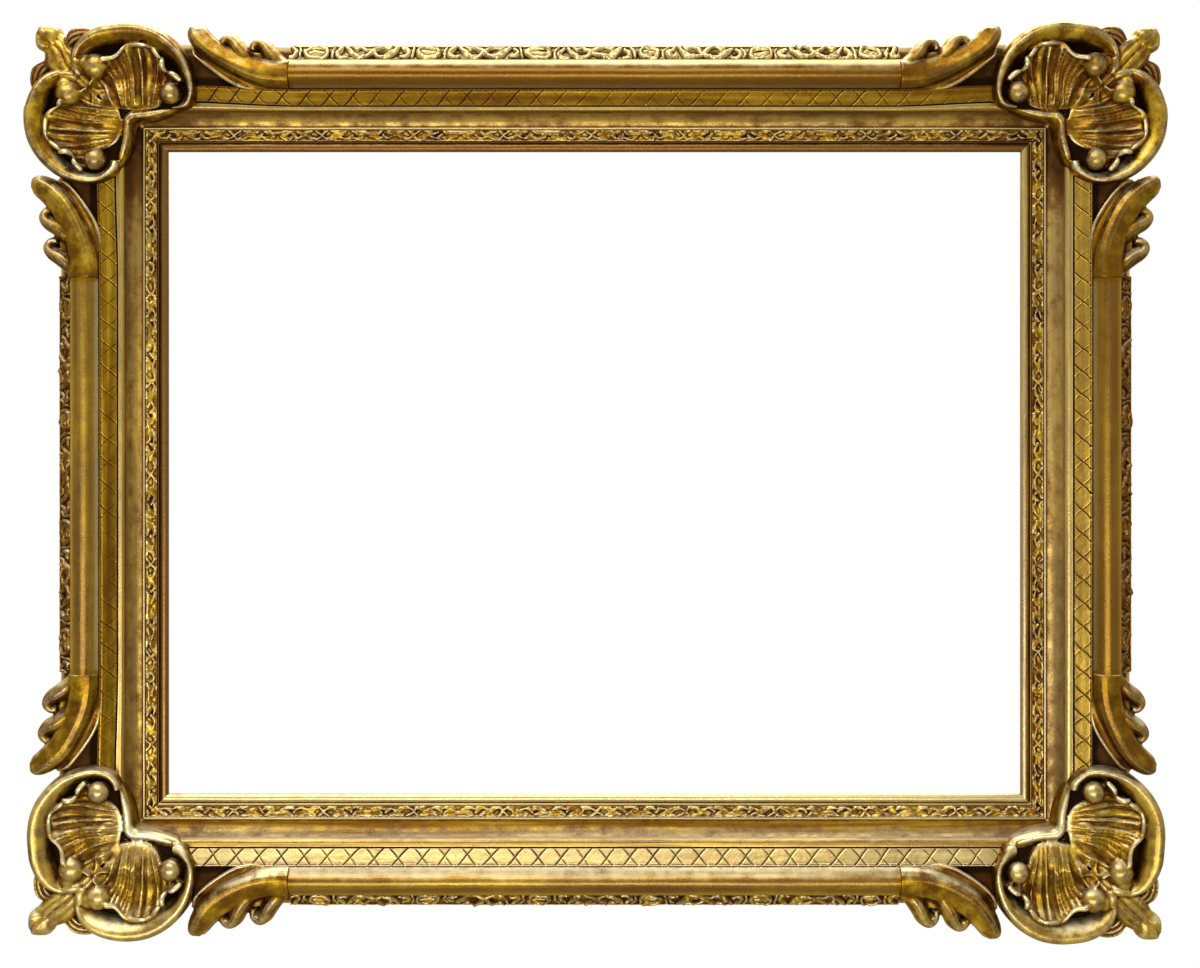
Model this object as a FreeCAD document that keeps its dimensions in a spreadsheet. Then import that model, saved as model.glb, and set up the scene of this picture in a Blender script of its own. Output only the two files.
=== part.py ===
import FreeCAD, Part
import math
import os
import Sketcher

# A gilded picture frame in the French swept manner, for a 61 x 46 cm picture.
# The frame stands upright: X runs along the long rails, Z is up, and the viewer stands on the -Y side.
# The origin is the middle of the opening, on the plane of the rails' backs. Lengths are in millimetres.

DOC = FreeCAD.newDocument("gilded_frame")
SHEET = DOC.addObject("Spreadsheet::Sheet", "sizes")
V = FreeCAD.Vector

DIMENSIONS = {
    # the opening and the picture behind it
    "sight_width": 600,
    "sight_height": 452,
    "picture_lap": 6,
    "rebate_depth": 14,
    # the moulding, band by band, from the opening outwards
    "lip_width": 7.5,
    "inner_strip_width": 7.5,
    "cove_width": 14.5,
    "fillet_width": 2.5,
    "groove_width": 1.2,
    "frieze_width": 10.3,
    "torus_width": 21,
    "outer_strip_width": 9.5,
    # how far each band stands above the one before it, from the back of the rail to the top of the frieze
    "lip_height": 17,
    "lip_bead_rise": 1.2,
    "inner_seat_rise": 1.5,
    "cove_foot_rise": 2,
    "cove_rise": 12.5,
    "cove_sag": 2.6,
    "groove_drop": 1.5,
    "frieze_foot_rise": 0.5,
    "frieze_rise": 6,
    # and from there down to the outer edge
    "torus_seat_drop": 4,
    "torus_edge_rise": 2,
    "torus_rise": 9,
    "outer_seat_drop": 3,
    "outer_slope_drop": 8,
    "outer_wall_batter": 3.5,
    # the running strips
    "inner_strip_rise": 2.4,
    "strip_side_gap": 0.15,
    "outer_strip_rise": 3.4,
    # the splines across the mitres
    "spline_height": 9,
    "spline_thickness": 2.6,
    "spline_leg": 34,
    "spline_gap": 0.1,
    "spline_setback": 2.8,
    # the cast corner: how far it reaches past the rail, stands over the torus's seat and hangs below the edge
    "corner_overhang": 17,
    "corner_rise": 14.5,
    "corner_foot_drop": 5.5,
    # the cast leaf ends
    "leaf_end_distance": 88,
    "leaf_rise": 12,
    "leaf_foot_drop": 3,
    "leaf_ground_overhang": 1.6,
    # the turn buttons
    "button_length": 32,
    "button_tail": 8,
    "button_clip": 3.2,
    "button_width": 11,
    "button_thickness": 2.5,
    "button_from_sight": 17,
    "button_spacing": 180,
    "button_float": 0.15,
    "pivot_gap": 0.08,
    # the screws
    "screw_shank_radius": 1.8,
    "screw_head_radius": 3.6,
    "screw_head_height": 2,
    "screw_length": 12,
    "screw_tip_gap": 0.5,
    "pilot_gap": 0.05,
    # the hangers
    "hanger_from_sight": 40,
    "hanger_up": 130,
    "strap_width": 13,
    "strap_length": 42,
    "strap_thickness": 1.2,
    "strap_screw_first": 12.5,
    "strap_screw_second": 31,
    "strap_hole_gap": 0.25,
    "knuckle_joggle": 0.3,
    "ring_wire_radius": 1.25,
    "ring_half_width": 11.5,
    "ring_corner_radius": 3,
    "ring_drop": 19,
    "ring_gap": 0.09,
    # one overrun for all cuts
    "overrun": 2,
}

for row, (alias, number) in enumerate(DIMENSIONS.items(), start=1):
    SHEET.set(f"A{row}", alias)
    SHEET.set(f"B{row}", str(number))
    SHEET.setAlias(f"B{row}", alias)
DOC.recompute()


class Size:
    """A length worked out from the sheet, kept both as a number and as the text of an expression."""

    def __init__(self, number, text):
        self.number = float(number)
        self.text = text

    def __add__(self, other):
        other = as_size(other)
        return Size(self.number + other.number, f"({self.text} + {other.text})")

    def __sub__(self, other):
        other = as_size(other)
        return Size(self.number - other.number, f"({self.text} - {other.text})")

    def __mul__(self, other):
        other = as_size(other)
        return Size(self.number * other.number, f"({self.text} * {other.text})")

    def __truediv__(self, other):
        other = as_size(other)
        return Size(self.number / other.number, f"({self.text} / {other.text})")

    def __neg__(self):
        return Size(-self.number, f"(-1 * {self.text})")

    __radd__ = __add__
    __rmul__ = __mul__


def as_size(value):
    return value if isinstance(value, Size) else Size(value, repr(value))


def size(alias):
    return Size(getattr(SHEET, alias), f"sizes.{alias}")


ZERO = Size(0, "0")
OVERRUN = size("overrun")

# the edges of the bands, measured outwards from the sight edge
LIP_END = size("lip_width")
INNER_STRIP_END = LIP_END + size("inner_strip_width")
COVE_END = INNER_STRIP_END + size("cove_width")
FILLET_END = COVE_END + size("fillet_width")
GROOVE_END = FILLET_END + size("groove_width")
FRIEZE_END = GROOVE_END + size("frieze_width")
TORUS_END = FRIEZE_END + size("torus_width")
RAIL_WIDTH = TORUS_END + size("outer_strip_width")
CORNER_REACH = RAIL_WIDTH + size("corner_overhang")

# the heights of the bands above the back of the rail
LIP_HEIGHT = size("lip_height")
INNER_SEAT = LIP_HEIGHT + size("inner_seat_rise")
COVE_FOOT = INNER_SEAT + size("cove_foot_rise")
FILLET_HEIGHT = COVE_FOOT + size("cove_rise")
GROOVE_FLOOR = FILLET_HEIGHT - size("groove_drop")
FRIEZE_FOOT = FILLET_HEIGHT + size("frieze_foot_rise")
FRIEZE_HEAD = FRIEZE_FOOT + size("frieze_rise")
TORUS_SEAT = FRIEZE_HEAD - size("torus_seat_drop")
TORUS_EDGE = TORUS_SEAT + size("torus_edge_rise")
OUTER_SEAT = TORUS_SEAT - size("outer_seat_drop")
OUTER_EDGE = OUTER_SEAT - size("outer_slope_drop")

HALF_WIDTH = size("sight_width") / 2
HALF_HEIGHT = size("sight_height") / 2

# each side of the frame: the turn about Y from the top rail, half its opening, and where its sight edge lies
SIDES = {
    "top": (0, HALF_WIDTH, ZERO, HALF_HEIGHT),
    "right": (90, HALF_HEIGHT, HALF_WIDTH, ZERO),
    "bottom": (180, HALF_WIDTH, ZERO, -HALF_HEIGHT),
    "left": (-90, HALF_HEIGHT, -HALF_WIDTH, ZERO),
}


def bind(thing, prop, value):
    """Ties a property to a size. The number goes in first, so that the model is sound before it recomputes."""
    thing.setExpression(prop, as_size(value).text)


def put_on_side(body, side):
    """Turns a body made for the top rail, with its sight edge on the local X axis, to its own side."""
    turn, _, x, z = SIDES[side]
    body.Placement = FreeCAD.Placement(V(x.number, 0, z.number), FreeCAD.Rotation(V(0, 1, 0), turn))
    bind(body, "Placement.Base.x", x)
    bind(body, "Placement.Base.z", z)


def arc_radius(start, end, sag):
    """The radius of an arc between two points that stands off its chord by sag."""
    across = end[0] - start[0]
    along = end[1] - start[1]
    return (across * across + along * along) / (8 * sag) + sag / 2


def origin_plane(body, role):
    return [feature for feature in body.Origin.OriginFeatures if feature.Role == role][0]


class Outline:
    """A sketch on one of a body's origin planes, whose points are tied to sizes."""

    def __init__(self, body, name, role, lift=None):
        self.sketch = body.newObject("Sketcher::SketchObject", name)
        self.sketch.AttachmentSupport = [(origin_plane(body, role), "")]
        self.sketch.MapMode = "FlatFace"
        if lift is not None:
            self.sketch.AttachmentOffset = FreeCAD.Placement(V(0, 0, lift.number), FreeCAD.Rotation())
            bind(self.sketch, "AttachmentOffset.Base.z", lift)

    def tie(self, kind, curve, point, value):
        number = self.sketch.addConstraint(Sketcher.Constraint(kind, -1, 1, curve, point, value.number))
        bind(self.sketch, f"Constraints[{number}]", value)

    def loop(self, *stations):
        """A closed outline. A station is (x, y), or (x, y, sag) where an arc leads on from it.

        The arc stands off its chord by sag, to the left of the way along the outline where sag is positive.
        """
        points = [(as_size(station[0]), as_size(station[1])) for station in stations]
        ends = []
        for place, station in enumerate(stations):
            start = points[place]
            end = points[(place + 1) % len(points)]
            first = V(start[0].number, start[1].number, 0)
            last = V(end[0].number, end[1].number, 0)
            if len(station) == 2:
                curve = self.sketch.addGeometry(Part.LineSegment(first, last), False)
                ends.append((curve, 1, 2))
                continue
            sag = as_size(station[2])
            chord = last - first
            middle = (first + last) / 2 + V(-chord.y, chord.x, 0).normalize() * sag.number
            if sag.number < 0:
                curve = self.sketch.addGeometry(Part.Arc(first, middle, last), False)
                ends.append((curve, 1, 2))
            else:
                curve = self.sketch.addGeometry(Part.Arc(last, middle, first), False)
                ends.append((curve, 2, 1))
        for place, (curve, head, tail) in enumerate(ends):
            following = ends[(place + 1) % len(ends)]
            self.sketch.addConstraint(Sketcher.Constraint("Coincident", curve, tail, following[0], following[1]))
        for (curve, head, _), point in zip(ends, points):
            self.tie("DistanceX", curve, head, point[0])
            self.tie("DistanceY", curve, head, point[1])
        for place, station in enumerate(stations):
            if len(station) == 3:
                start = points[place]
                end = points[(place + 1) % len(points)]
                sag = as_size(station[2])
                if sag.number < 0:
                    sag = -sag
                radius = arc_radius(start, end, sag)
                number = self.sketch.addConstraint(Sketcher.Constraint("Radius", ends[place][0], radius.number))
                bind(self.sketch, f"Constraints[{number}]", radius)
        return self

    def circle(self, x, y, radius):
        x, y, radius = as_size(x), as_size(y), as_size(radius)
        centre = V(x.number, y.number, 0)
        curve = self.sketch.addGeometry(Part.Circle(centre, V(0, 0, 1), radius.number), False)
        self.tie("DistanceX", curve, 3, x)
        self.tie("DistanceY", curve, 3, y)
        number = self.sketch.addConstraint(Sketcher.Constraint("Radius", curve, radius.number))
        bind(self.sketch, f"Constraints[{number}]", radius)
        return self


def new_body(label):
    body = DOC.addObject("PartDesign::Body", label)
    body.Label = label
    return body


def pad(body, outline, length, symmetric=False, reverse=False):
    feature = body.newObject("PartDesign::Pad", outline.sketch.Name + "_pad")
    feature.Profile = outline.sketch
    feature.SideType = "Symmetric" if symmetric else "One side"
    feature.Reversed = reverse
    bind(feature, "Length", length)
    DOC.recompute()
    return feature


def pocket(body, outline, length, symmetric=False, reverse=False):
    """A cut that has to take material away."""
    before = body.Shape.Volume
    feature = body.newObject("PartDesign::Pocket", outline.sketch.Name + "_cut")
    feature.Profile = outline.sketch
    feature.SideType = "Symmetric" if symmetric else "One side"
    feature.Reversed = reverse
    bind(feature, "Length", length)
    DOC.recompute()
    if body.Shape.Volume >= before:
        raise ValueError(f"{body.Label}: {outline.sketch.Name} cuts nothing")
    return feature


def mitre_ends(body, half_opening, inner, outer, name, through):
    """Saws both ends of a length at 45 degrees, on the lines from the sight corners outwards."""
    low = inner - OVERRUN
    high = outer + OVERRUN
    cut = Outline(body, name, "XZ_Plane")
    for sign in (1, -1):
        cut.loop(
            ((half_opening + low) * sign, low),
            ((half_opening + high) * sign, high),
            ((half_opening + high) * sign, low),
        )
    pocket(body, cut, through, symmetric=True)


FULL_DEPTH = (FILLET_HEIGHT + FRIEZE_HEAD + OVERRUN) * 2


def rail_profile(body):
    """The stepped moulding, drawn as (-height, distance from the sight edge)."""
    lap = size("picture_lap")
    return Outline(body, "profile", "YZ_Plane").loop(
        (ZERO, lap),
        (-size("rebate_depth"), lap),
        (-size("rebate_depth"), ZERO),
        (-LIP_HEIGHT, ZERO, size("lip_bead_rise")),
        (-LIP_HEIGHT, LIP_END),
        (-INNER_SEAT, LIP_END),
        (-INNER_SEAT, INNER_STRIP_END),
        (-COVE_FOOT, INNER_STRIP_END, -size("cove_sag")),
        (-FILLET_HEIGHT, COVE_END),
        (-FILLET_HEIGHT, FILLET_END),
        (-GROOVE_FLOOR, FILLET_END),
        (-GROOVE_FLOOR, GROOVE_END),
        (-FRIEZE_FOOT, GROOVE_END),
        (-FRIEZE_HEAD, FRIEZE_END),
        (-TORUS_SEAT, FRIEZE_END),
        (-TORUS_SEAT, TORUS_END),
        (-OUTER_SEAT, TORUS_END),
        (-OUTER_EDGE, RAIL_WIDTH),
        (ZERO, RAIL_WIDTH - size("outer_wall_batter")),
    )


def button_places(side):
    """Where the turn buttons' screws stand along a rail."""
    if side in ("top", "bottom"):
        return (-size("button_spacing") / 2, size("button_spacing") / 2)
    return (ZERO,)


def hanger_screw_places(side):
    """Where a strap's two screws stand on a side rail, along the rail."""
    upward = {"left": 1, "right": -1}[side]
    return [(size("hanger_up") - size(alias)) * upward for alias in ("strap_screw_first", "strap_screw_second")]


def make_rail(side):
    half_opening = SIDES[side][1]
    body = new_body(f"rail_{side}")
    pad(body, rail_profile(body), (half_opening + RAIL_WIDTH) * 2, symmetric=True)
    mitre_ends(body, half_opening, ZERO, RAIL_WIDTH, "mitres", FULL_DEPTH)
    slots = Outline(body, "spline_slots", "XZ_Plane", lift=size("spline_height"))
    foot = RAIL_WIDTH - size("spline_leg") / 2
    top = RAIL_WIDTH + OVERRUN
    reach = top - foot
    for sign in (1, -1):
        slots.loop(
            ((half_opening + foot) * sign, foot),
            ((half_opening + top) * sign, top),
            ((half_opening + foot - reach) * sign, top),
        )
    pocket(body, slots, size("spline_thickness") + size("spline_gap") * 2, symmetric=True)
    holes = Outline(body, "pilot_holes", "XZ_Plane")
    pilot = size("screw_shank_radius") + size("pilot_gap")
    for place in button_places(side):
        holes.circle(place, size("button_from_sight"), pilot)
    if side in ("left", "right"):
        for place in hanger_screw_places(side):
            holes.circle(place, size("hanger_from_sight"), pilot)
    pocket(body, holes, size("screw_length"), reverse=True)
    put_on_side(body, side)
    return body


def make_inner_strip(side):
    """A half-round length in the step beside the cove, mitred at both ends."""
    half_opening = SIDES[side][1]
    gap = size("strip_side_gap")
    seat = INNER_SEAT
    body = new_body(f"inner_strip_{side}")
    outline = Outline(body, "profile", "YZ_Plane").loop(
        (-seat, LIP_END),
        (-seat, INNER_STRIP_END - gap),
        (-COVE_FOOT, INNER_STRIP_END - gap, -size("inner_strip_rise")),
        (-COVE_FOOT, LIP_END),
    )
    pad(body, outline, (half_opening + INNER_STRIP_END) * 2, symmetric=True)
    mitre_ends(body, half_opening, LIP_END, INNER_STRIP_END, "mitres", FULL_DEPTH)
    put_on_side(body, side)
    return body


def straight_length(side):
    """The stretch of a side between its two leaf ends."""
    return (SIDES[side][1] - size("leaf_end_distance")) * 2


def make_torus(side):
    body = new_body(f"torus_{side}")
    seat = TORUS_SEAT
    outline = Outline(body, "profile", "YZ_Plane").loop(
        (-seat, FRIEZE_END),
        (-seat, TORUS_END),
        (-TORUS_EDGE, TORUS_END, -size("torus_rise")),
        (-FRIEZE_HEAD, FRIEZE_END),
    )
    pad(body, outline, straight_length(side), symmetric=True)
    put_on_side(body, side)
    return body


def make_outer_strip(side):
    body = new_body(f"outer_strip_{side}")
    outline = Outline(body, "profile", "YZ_Plane").loop(
        (-OUTER_SEAT, TORUS_END),
        (-OUTER_EDGE, RAIL_WIDTH, -size("outer_strip_rise")),
    )
    pad(body, outline, straight_length(side), symmetric=True)
    put_on_side(body, side)
    return body


# The castings at the top left corner. A place there is (u, v, height): u runs left and v up from the sight
# corner, so that u grows towards the frame's outer corner and falls below zero along the top rail.


def spot(u, v, height):
    return V(-(HALF_WIDTH.number + u), -height, HALF_HEIGHT.number + v)


def face_of(*points):
    return Part.Face(Part.makePolygon([*points, points[0]]))


def faceted_solid(rings, closed=False):
    """A solid with flat facets through rings of points, capped at both ends unless it closes on itself."""
    faces = [] if closed else [face_of(*rings[0]), face_of(*rings[-1])]
    pairs = list(zip(rings, rings[1:]))
    if closed:
        pairs.append((rings[-1], rings[0]))
    for ring, following in pairs:
        for place in range(len(ring)):
            beyond = (place + 1) % len(ring)
            faces.append(face_of(ring[place], ring[beyond], following[beyond]))
            faces.append(face_of(ring[place], following[beyond], following[place]))
    solid = Part.makeSolid(Part.makeShell(faces))
    if solid.Volume < 0:
        solid.reverse()
    return solid


def ridge(stations, section_shares, foot):
    """A raised band. A station is (u, v, half width, top); section shares run over half width and rise."""
    rings = []
    for place, (u, v, half_width, top) in enumerate(stations):
        before = stations[max(place - 1, 0)]
        after = stations[min(place + 1, len(stations) - 1)]
        ahead = V(after[0] - before[0], after[1] - before[1], 0).normalize()
        rings.append([
            spot(u - ahead.y * side * half_width, v + ahead.x * side * half_width, foot + (top - foot) * rise)
            for side, rise in section_shares
        ])
    return faceted_solid(rings)


SCROLL_SECTION_SHARES = ((1, 0), (1, 0.68), (0.5, 0.97), (-0.25, 0.97), (-0.9, 0.7), (-1, 0))
ROUND_SECTION_SHARES = ((1, 0), (1, 0.72), (0.35, 1), (-0.35, 1), (-1, 0.72), (-1, 0))
RIB_SECTION_SHARES = ((1, 0), (1, 0.8), (0, 1), (-1, 0.8), (-1, 0))

# u, v and half width as shares of the corner's reach, and the top as a share of its rise
SCROLL_SHARES = (
    (0.527, 0.725, 0.050, 0.72),
    (0.480, 0.812, 0.068, 0.85),
    (0.380, 0.865, 0.084, 0.95),
    (0.240, 0.886, 0.093, 1.00),
    (0.090, 0.864, 0.093, 1.00),
    (-0.050, 0.795, 0.088, 0.97),
    (-0.160, 0.680, 0.080, 0.89),
    (-0.222, 0.545, 0.072, 0.80),
    (-0.218, 0.435, 0.062, 0.69),
    (-0.160, 0.372, 0.051, 0.58),
    (-0.088, 0.357, 0.040, 0.45),
)
OUTER_BALL_SHARES = (0.467, 0.632, 0.091, 0.90)
INNER_BALL_SHARES = (-0.093, 0.456, 0.080, 0.70)
# the spine runs out along the mitre from the hub of the shell to the leaf tip
SPINE_SHARES = (
    (0.25, 0.25, 0.040, 0.25),
    (0.42, 0.42, 0.065, 0.22),
    (0.58, 0.58, 0.055, 0.42),
    (0.72, 0.72, 0.065, 0.32),
    (0.84, 0.84, 0.095, 0.12),
    (0.90, 0.90, 0.110, -0.05),
    (0.945, 0.945, 0.085, -0.35),
)
LIP_SHARES = (
    (-0.10, 0.335, 0.030, 0.05),
    (0.03, 0.300, 0.042, 0.20),
    (0.14, 0.290, 0.036, 0.12),
    (0.235, 0.262, 0.045, 0.30),
    (0.262, 0.235, 0.045, 0.30),
    (0.290, 0.14, 0.036, 0.12),
    (0.300, 0.03, 0.042, 0.20),
    (0.335, -0.10, 0.030, 0.05),
)
BACK_LOBE_SHARES = (
    (0.50, 0.74, 0.060, -0.20),
    (0.58, 0.82, 0.075, -0.05),
    (0.65, 0.89, 0.045, -0.40),
)
# the shell's hub, and for each rib its turn in degrees and the rim's distance from the hub
HUB_SHARES = (0.22, 0.28)
RIM_SHARES = (
    (48, 0.30), (60, 0.35), (71, 0.36), (81, 0.39), (91, 0.43), (101, 0.46),
    (111, 0.46), (120, 0.42), (129, 0.36), (141, 0.40), (152, 0.38),
)
# along a rib: distance as a share of the rim's, and height as a share of the rise
RIB_SHARES = ((0.06, 0.34), (0.60, 0.06), (1.0, 0.38))
RIB_DEPTH_SHARE = 0.11
BALL_SHARES = ((1, 0), (1, 0.62), (0.80, 0.87), (0.34, 1))
BALL_SIDES = 9


def corner_station(shares):
    u, v, half_width, rise = shares
    reach = CORNER_REACH.number
    return (u * reach, v * reach, half_width * reach, corner_level(rise))


def corner_level(rise_share):
    return TORUS_SEAT.number + rise_share * SHEET.corner_rise


CORNER_FOOT = OUTER_EDGE.number - SHEET.corner_foot_drop


def ball(shares):
    """A volute's ball, as a faceted dome on a drum."""
    u, v, radius, top = corner_station(shares)
    rings = []
    for width_share, rise_share in BALL_SHARES:
        level = CORNER_FOOT + (top - CORNER_FOOT) * rise_share
        if rise_share > 0:
            level = top - 2 * radius * (1 - rise_share)
        turn = FreeCAD.Rotation(V(0, 0, 1), 360 / BALL_SIDES)
        arm = V(radius * width_share, 0, 0)
        points = []
        for _ in range(BALL_SIDES):
            points.append(spot(u + arm.x, v + arm.y, level))
            arm = turn.multVec(arm)
        rings.append(points)
    return faceted_solid(rings)


def shell_fan():
    """One ribbed fan of the shell: radial sections, with every second one lower."""
    reach = CORNER_REACH.number
    hub_u, hub_v = (share * reach for share in HUB_SHARES)
    rings = []
    for place, (degrees, rim_share) in enumerate(RIM_SHARES):
        out = FreeCAD.Rotation(V(0, 0, 1), degrees).multVec(V(rim_share * reach, 0, 0))
        dip = RIB_DEPTH_SHARE if place % 2 else -RIB_DEPTH_SHARE
        points = [spot(hub_u + out.x * share, hub_v + out.y * share, corner_level(rise + dip * share))
                  for share, rise in RIB_SHARES]
        for share in (RIB_SHARES[-1][0], RIB_SHARES[0][0]):
            points.append(spot(hub_u + out.x * share, hub_v + out.y * share, CORNER_FOOT))
        rings.append(points)
    return faceted_solid(rings)


def across_mitre(shape):
    """The mirror image of a shape across the mitre of the top left corner."""
    return shape.mirror(spot(0, 0, 0), V(1, 0, 1))


def make_corner(rails):
    half = [
        ridge([corner_station(shares) for shares in SCROLL_SHARES], SCROLL_SECTION_SHARES, CORNER_FOOT),
        ridge([corner_station(shares) for shares in BACK_LOBE_SHARES], RIB_SECTION_SHARES, CORNER_FOOT),
        ball(OUTER_BALL_SHARES),
        ball(INNER_BALL_SHARES),
        shell_fan(),
    ]
    spine = ridge([corner_station(shares) for shares in SPINE_SHARES], RIB_SECTION_SHARES, CORNER_FOOT)
    lip = ridge([corner_station(shares) for shares in LIP_SHARES], RIB_SECTION_SHARES, CORNER_FOOT)
    whole = spine.fuse(half + [across_mitre(shape) for shape in half] + [lip]).cut(rails)
    return whole.removeSplitter()


# u as a share of the leaf end's distance, v as a share of the way from the torus to the corner's reach,
# half width as a share of the torus's and the top as a share of the leaf's rise
LEAF_BAND_SHARES = (
    (1.00, 0.00, 1.00, 1.00),
    (0.91, 0.00, 1.00, 1.00),
    (0.75, 0.08, 1.00, 0.98),
    (0.59, 0.24, 0.95, 0.95),
    (0.455, 0.46, 0.86, 0.92),
    (0.34, 0.70, 0.74, 0.90),
    (0.27, 0.87, 0.52, 0.84),
    (0.235, 0.98, 0.25, 0.70),
)
FIRST_CURL_SHARES = ((0.66, 0.30, 0.34, 0.40), (0.57, 0.58, 0.50, 0.40), (0.52, 0.76, 0.30, 0.10))
SECOND_CURL_SHARES = ((0.88, 0.22, 0.34, 0.35), (0.79, 0.50, 0.48, 0.32), (0.74, 0.68, 0.28, 0.00))
# the veined inner side: u, the inner edge's and the outer edge's place across the frieze and torus
VEIN_SHARES = ((0.88, 0.96, 1.05), (0.66, 0.42, 1.50), (0.46, 0.12, 2.3), (0.33, 0.02, 2.6))
VEIN_SECTION_SHARES = ((0, 0.10), (0.24, 0.38), (0.42, 0.20), (0.68, 0.48), (1, 0.34))


def leaf_level(rise_share):
    return TORUS_SEAT.number + rise_share * SHEET.leaf_rise


LEAF_FOOT = OUTER_EDGE.number - SHEET.leaf_foot_drop


def leaf_station(shares):
    along, out, half_width, rise = shares
    middle = (FRIEZE_END.number + TORUS_END.number) / 2
    return (
        -along * SHEET.leaf_end_distance,
        middle + out * (CORNER_REACH.number - middle),
        half_width * SHEET.torus_width / 2,
        leaf_level(rise),
    )


def veined_side():
    """The fluted ground between the leaf's band and the frieze."""
    rings = []
    for along, inner, outer in VEIN_SHARES:
        u = -along * SHEET.leaf_end_distance
        low = GROOVE_END.number + inner * SHEET.frieze_width
        high = GROOVE_END.number + outer * SHEET.frieze_width
        points = [spot(u, low + (high - low) * share, leaf_level(rise)) for share, rise in VEIN_SECTION_SHARES]
        points.append(spot(u, high, LEAF_FOOT))
        points.append(spot(u, low, LEAF_FOOT))
        rings.append(points)
    return faceted_solid(rings)


def outer_ground():
    """The plain ground under the curls, from inside the band over the outer slope and a little past its edge."""
    reach = SHEET.leaf_end_distance
    inner = TORUS_END.number - SHEET.torus_width / 2
    outer = RAIL_WIDTH.number + SHEET.leaf_ground_overhang
    section = [
        (inner, LEAF_FOOT),
        (inner, TORUS_EDGE.number),
        (TORUS_END.number, TORUS_EDGE.number),
        (outer, OUTER_EDGE.number + SHEET.outer_strip_rise),
        (outer, LEAF_FOOT),
    ]
    face = face_of(*[spot(-reach, v, height) for v, height in section])
    return face.extrude(V(-reach * GROUND_SHARE, 0, 0))


GROUND_SHARE = 0.62


def make_leaf(rails, corner):
    pieces = [ridge([leaf_station(shares) for shares in table], section, LEAF_FOOT)
              for table, section in ((LEAF_BAND_SHARES, ROUND_SECTION_SHARES),
                                     (FIRST_CURL_SHARES, RIB_SECTION_SHARES),
                                     (SECOND_CURL_SHARES, RIB_SECTION_SHARES))]
    whole = pieces[0].fuse(pieces[1:] + [veined_side(), outer_ground()]).cut([*rails, corner])
    return max(whole.removeSplitter().Solids, key=lambda solid: solid.Volume)


def make_spline(corner, across, up):
    """A thin hardwood key glued across a mitre, short of the rails' sloping outer walls."""
    body = new_body(f"spline_{corner}")
    edge = RAIL_WIDTH - size("spline_setback")
    foot = RAIL_WIDTH - size("spline_leg") / 2 + size("spline_gap")
    outline = Outline(body, "outline", "XZ_Plane", lift=size("spline_height")).loop(
        ((HALF_WIDTH + edge) * across, (HALF_HEIGHT + edge) * up),
        ((HALF_WIDTH + foot * 2 - edge) * across, (HALF_HEIGHT + edge) * up),
        ((HALF_WIDTH + edge) * across, (HALF_HEIGHT + foot * 2 - edge) * up),
    )
    pad(body, outline, size("spline_thickness"), symmetric=True)
    return body


# The hardware on the back. A quarter turn's arc stands off its chord by this share of its radius.
QUARTER_SAG_SHARE = 1 - math.sqrt(0.5)


def on_side(side, along, out):
    """The X and Z of a place on a side, from its distance along the rail and outwards from the sight edge."""
    if side == "top":
        return along, HALF_HEIGHT + out
    if side == "bottom":
        return -along, -(HALF_HEIGHT + out)
    if side == "left":
        return -(HALF_WIDTH + out), along
    return HALF_WIDTH + out, -along


def place_at(thing, x, z, rotation=FreeCAD.Rotation()):
    thing.Placement = FreeCAD.Placement(V(x.number, 0, z.number), rotation)
    bind(thing, "Placement.Base.x", x)
    bind(thing, "Placement.Base.z", z)


def make_button(side, number, along):
    """A flat brass button that turns about its screw. At rest it lies along the rail, off the picture."""
    body = new_body(f"button_{side}_{number}" if side in ("top", "bottom") else f"button_{side}")
    half = size("button_width") / 2
    head = size("button_length") - size("button_tail")
    tail = size("button_tail")
    clip = size("button_clip")
    outline = Outline(body, "outline", "XZ_Plane", lift=-size("button_float")).loop(
        (clip - tail, -half),
        (head - clip, -half),
        (head, clip - half),
        (head, half - clip),
        (head - clip, half),
        (clip - tail, half),
        (-tail, half - clip),
        (-tail, clip - half),
    )
    outline.circle(ZERO, ZERO, size("screw_shank_radius") + size("pivot_gap"))
    pad(body, outline, size("button_thickness"), reverse=True)
    x, z = on_side(side, along, size("button_from_sight"))
    place_at(body, x, z, FreeCAD.Rotation(V(0, 1, 0), SIDES[side][0]))
    return body


SCREW_SIDES = 12


def make_screw(name, x, z, under_head):
    """A screw that points into the wood, with its head this far above the back. It is kept to a few flats."""
    tip = -(size("screw_length") - size("screw_tip_gap"))
    turned = FreeCAD.Rotation(V(1, 0, 0), -90)
    lengths = []
    for part, radius, start, length in (
        ("shank", size("screw_shank_radius"), tip, under_head + size("screw_head_height") / 2 - tip),
        ("head", size("screw_head_radius"), under_head, size("screw_head_height")),
    ):
        prism = DOC.addObject("Part::Prism", f"{name}_{part}")
        prism.Polygon = SCREW_SIDES
        bind(prism, "Circumradius", radius)
        bind(prism, "Height", length)
        place_at(prism, x, z, turned)
        bind(prism, "Placement.Base.y", start)
        lengths.append(prism)
    screw = DOC.addObject("Part::MultiFuse", name)
    screw.Shapes = lengths
    return screw


def make_group(label, members):
    group = DOC.addObject("Part::Compound", label)
    group.Label = label
    group.Links = members
    return group


KNUCKLE_BORE = size("ring_wire_radius") + size("ring_gap")
KNUCKLE_RADIUS = KNUCKLE_BORE + size("strap_thickness")
RING_AXIS_DEPTH = KNUCKLE_RADIUS + size("knuckle_joggle")


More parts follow.
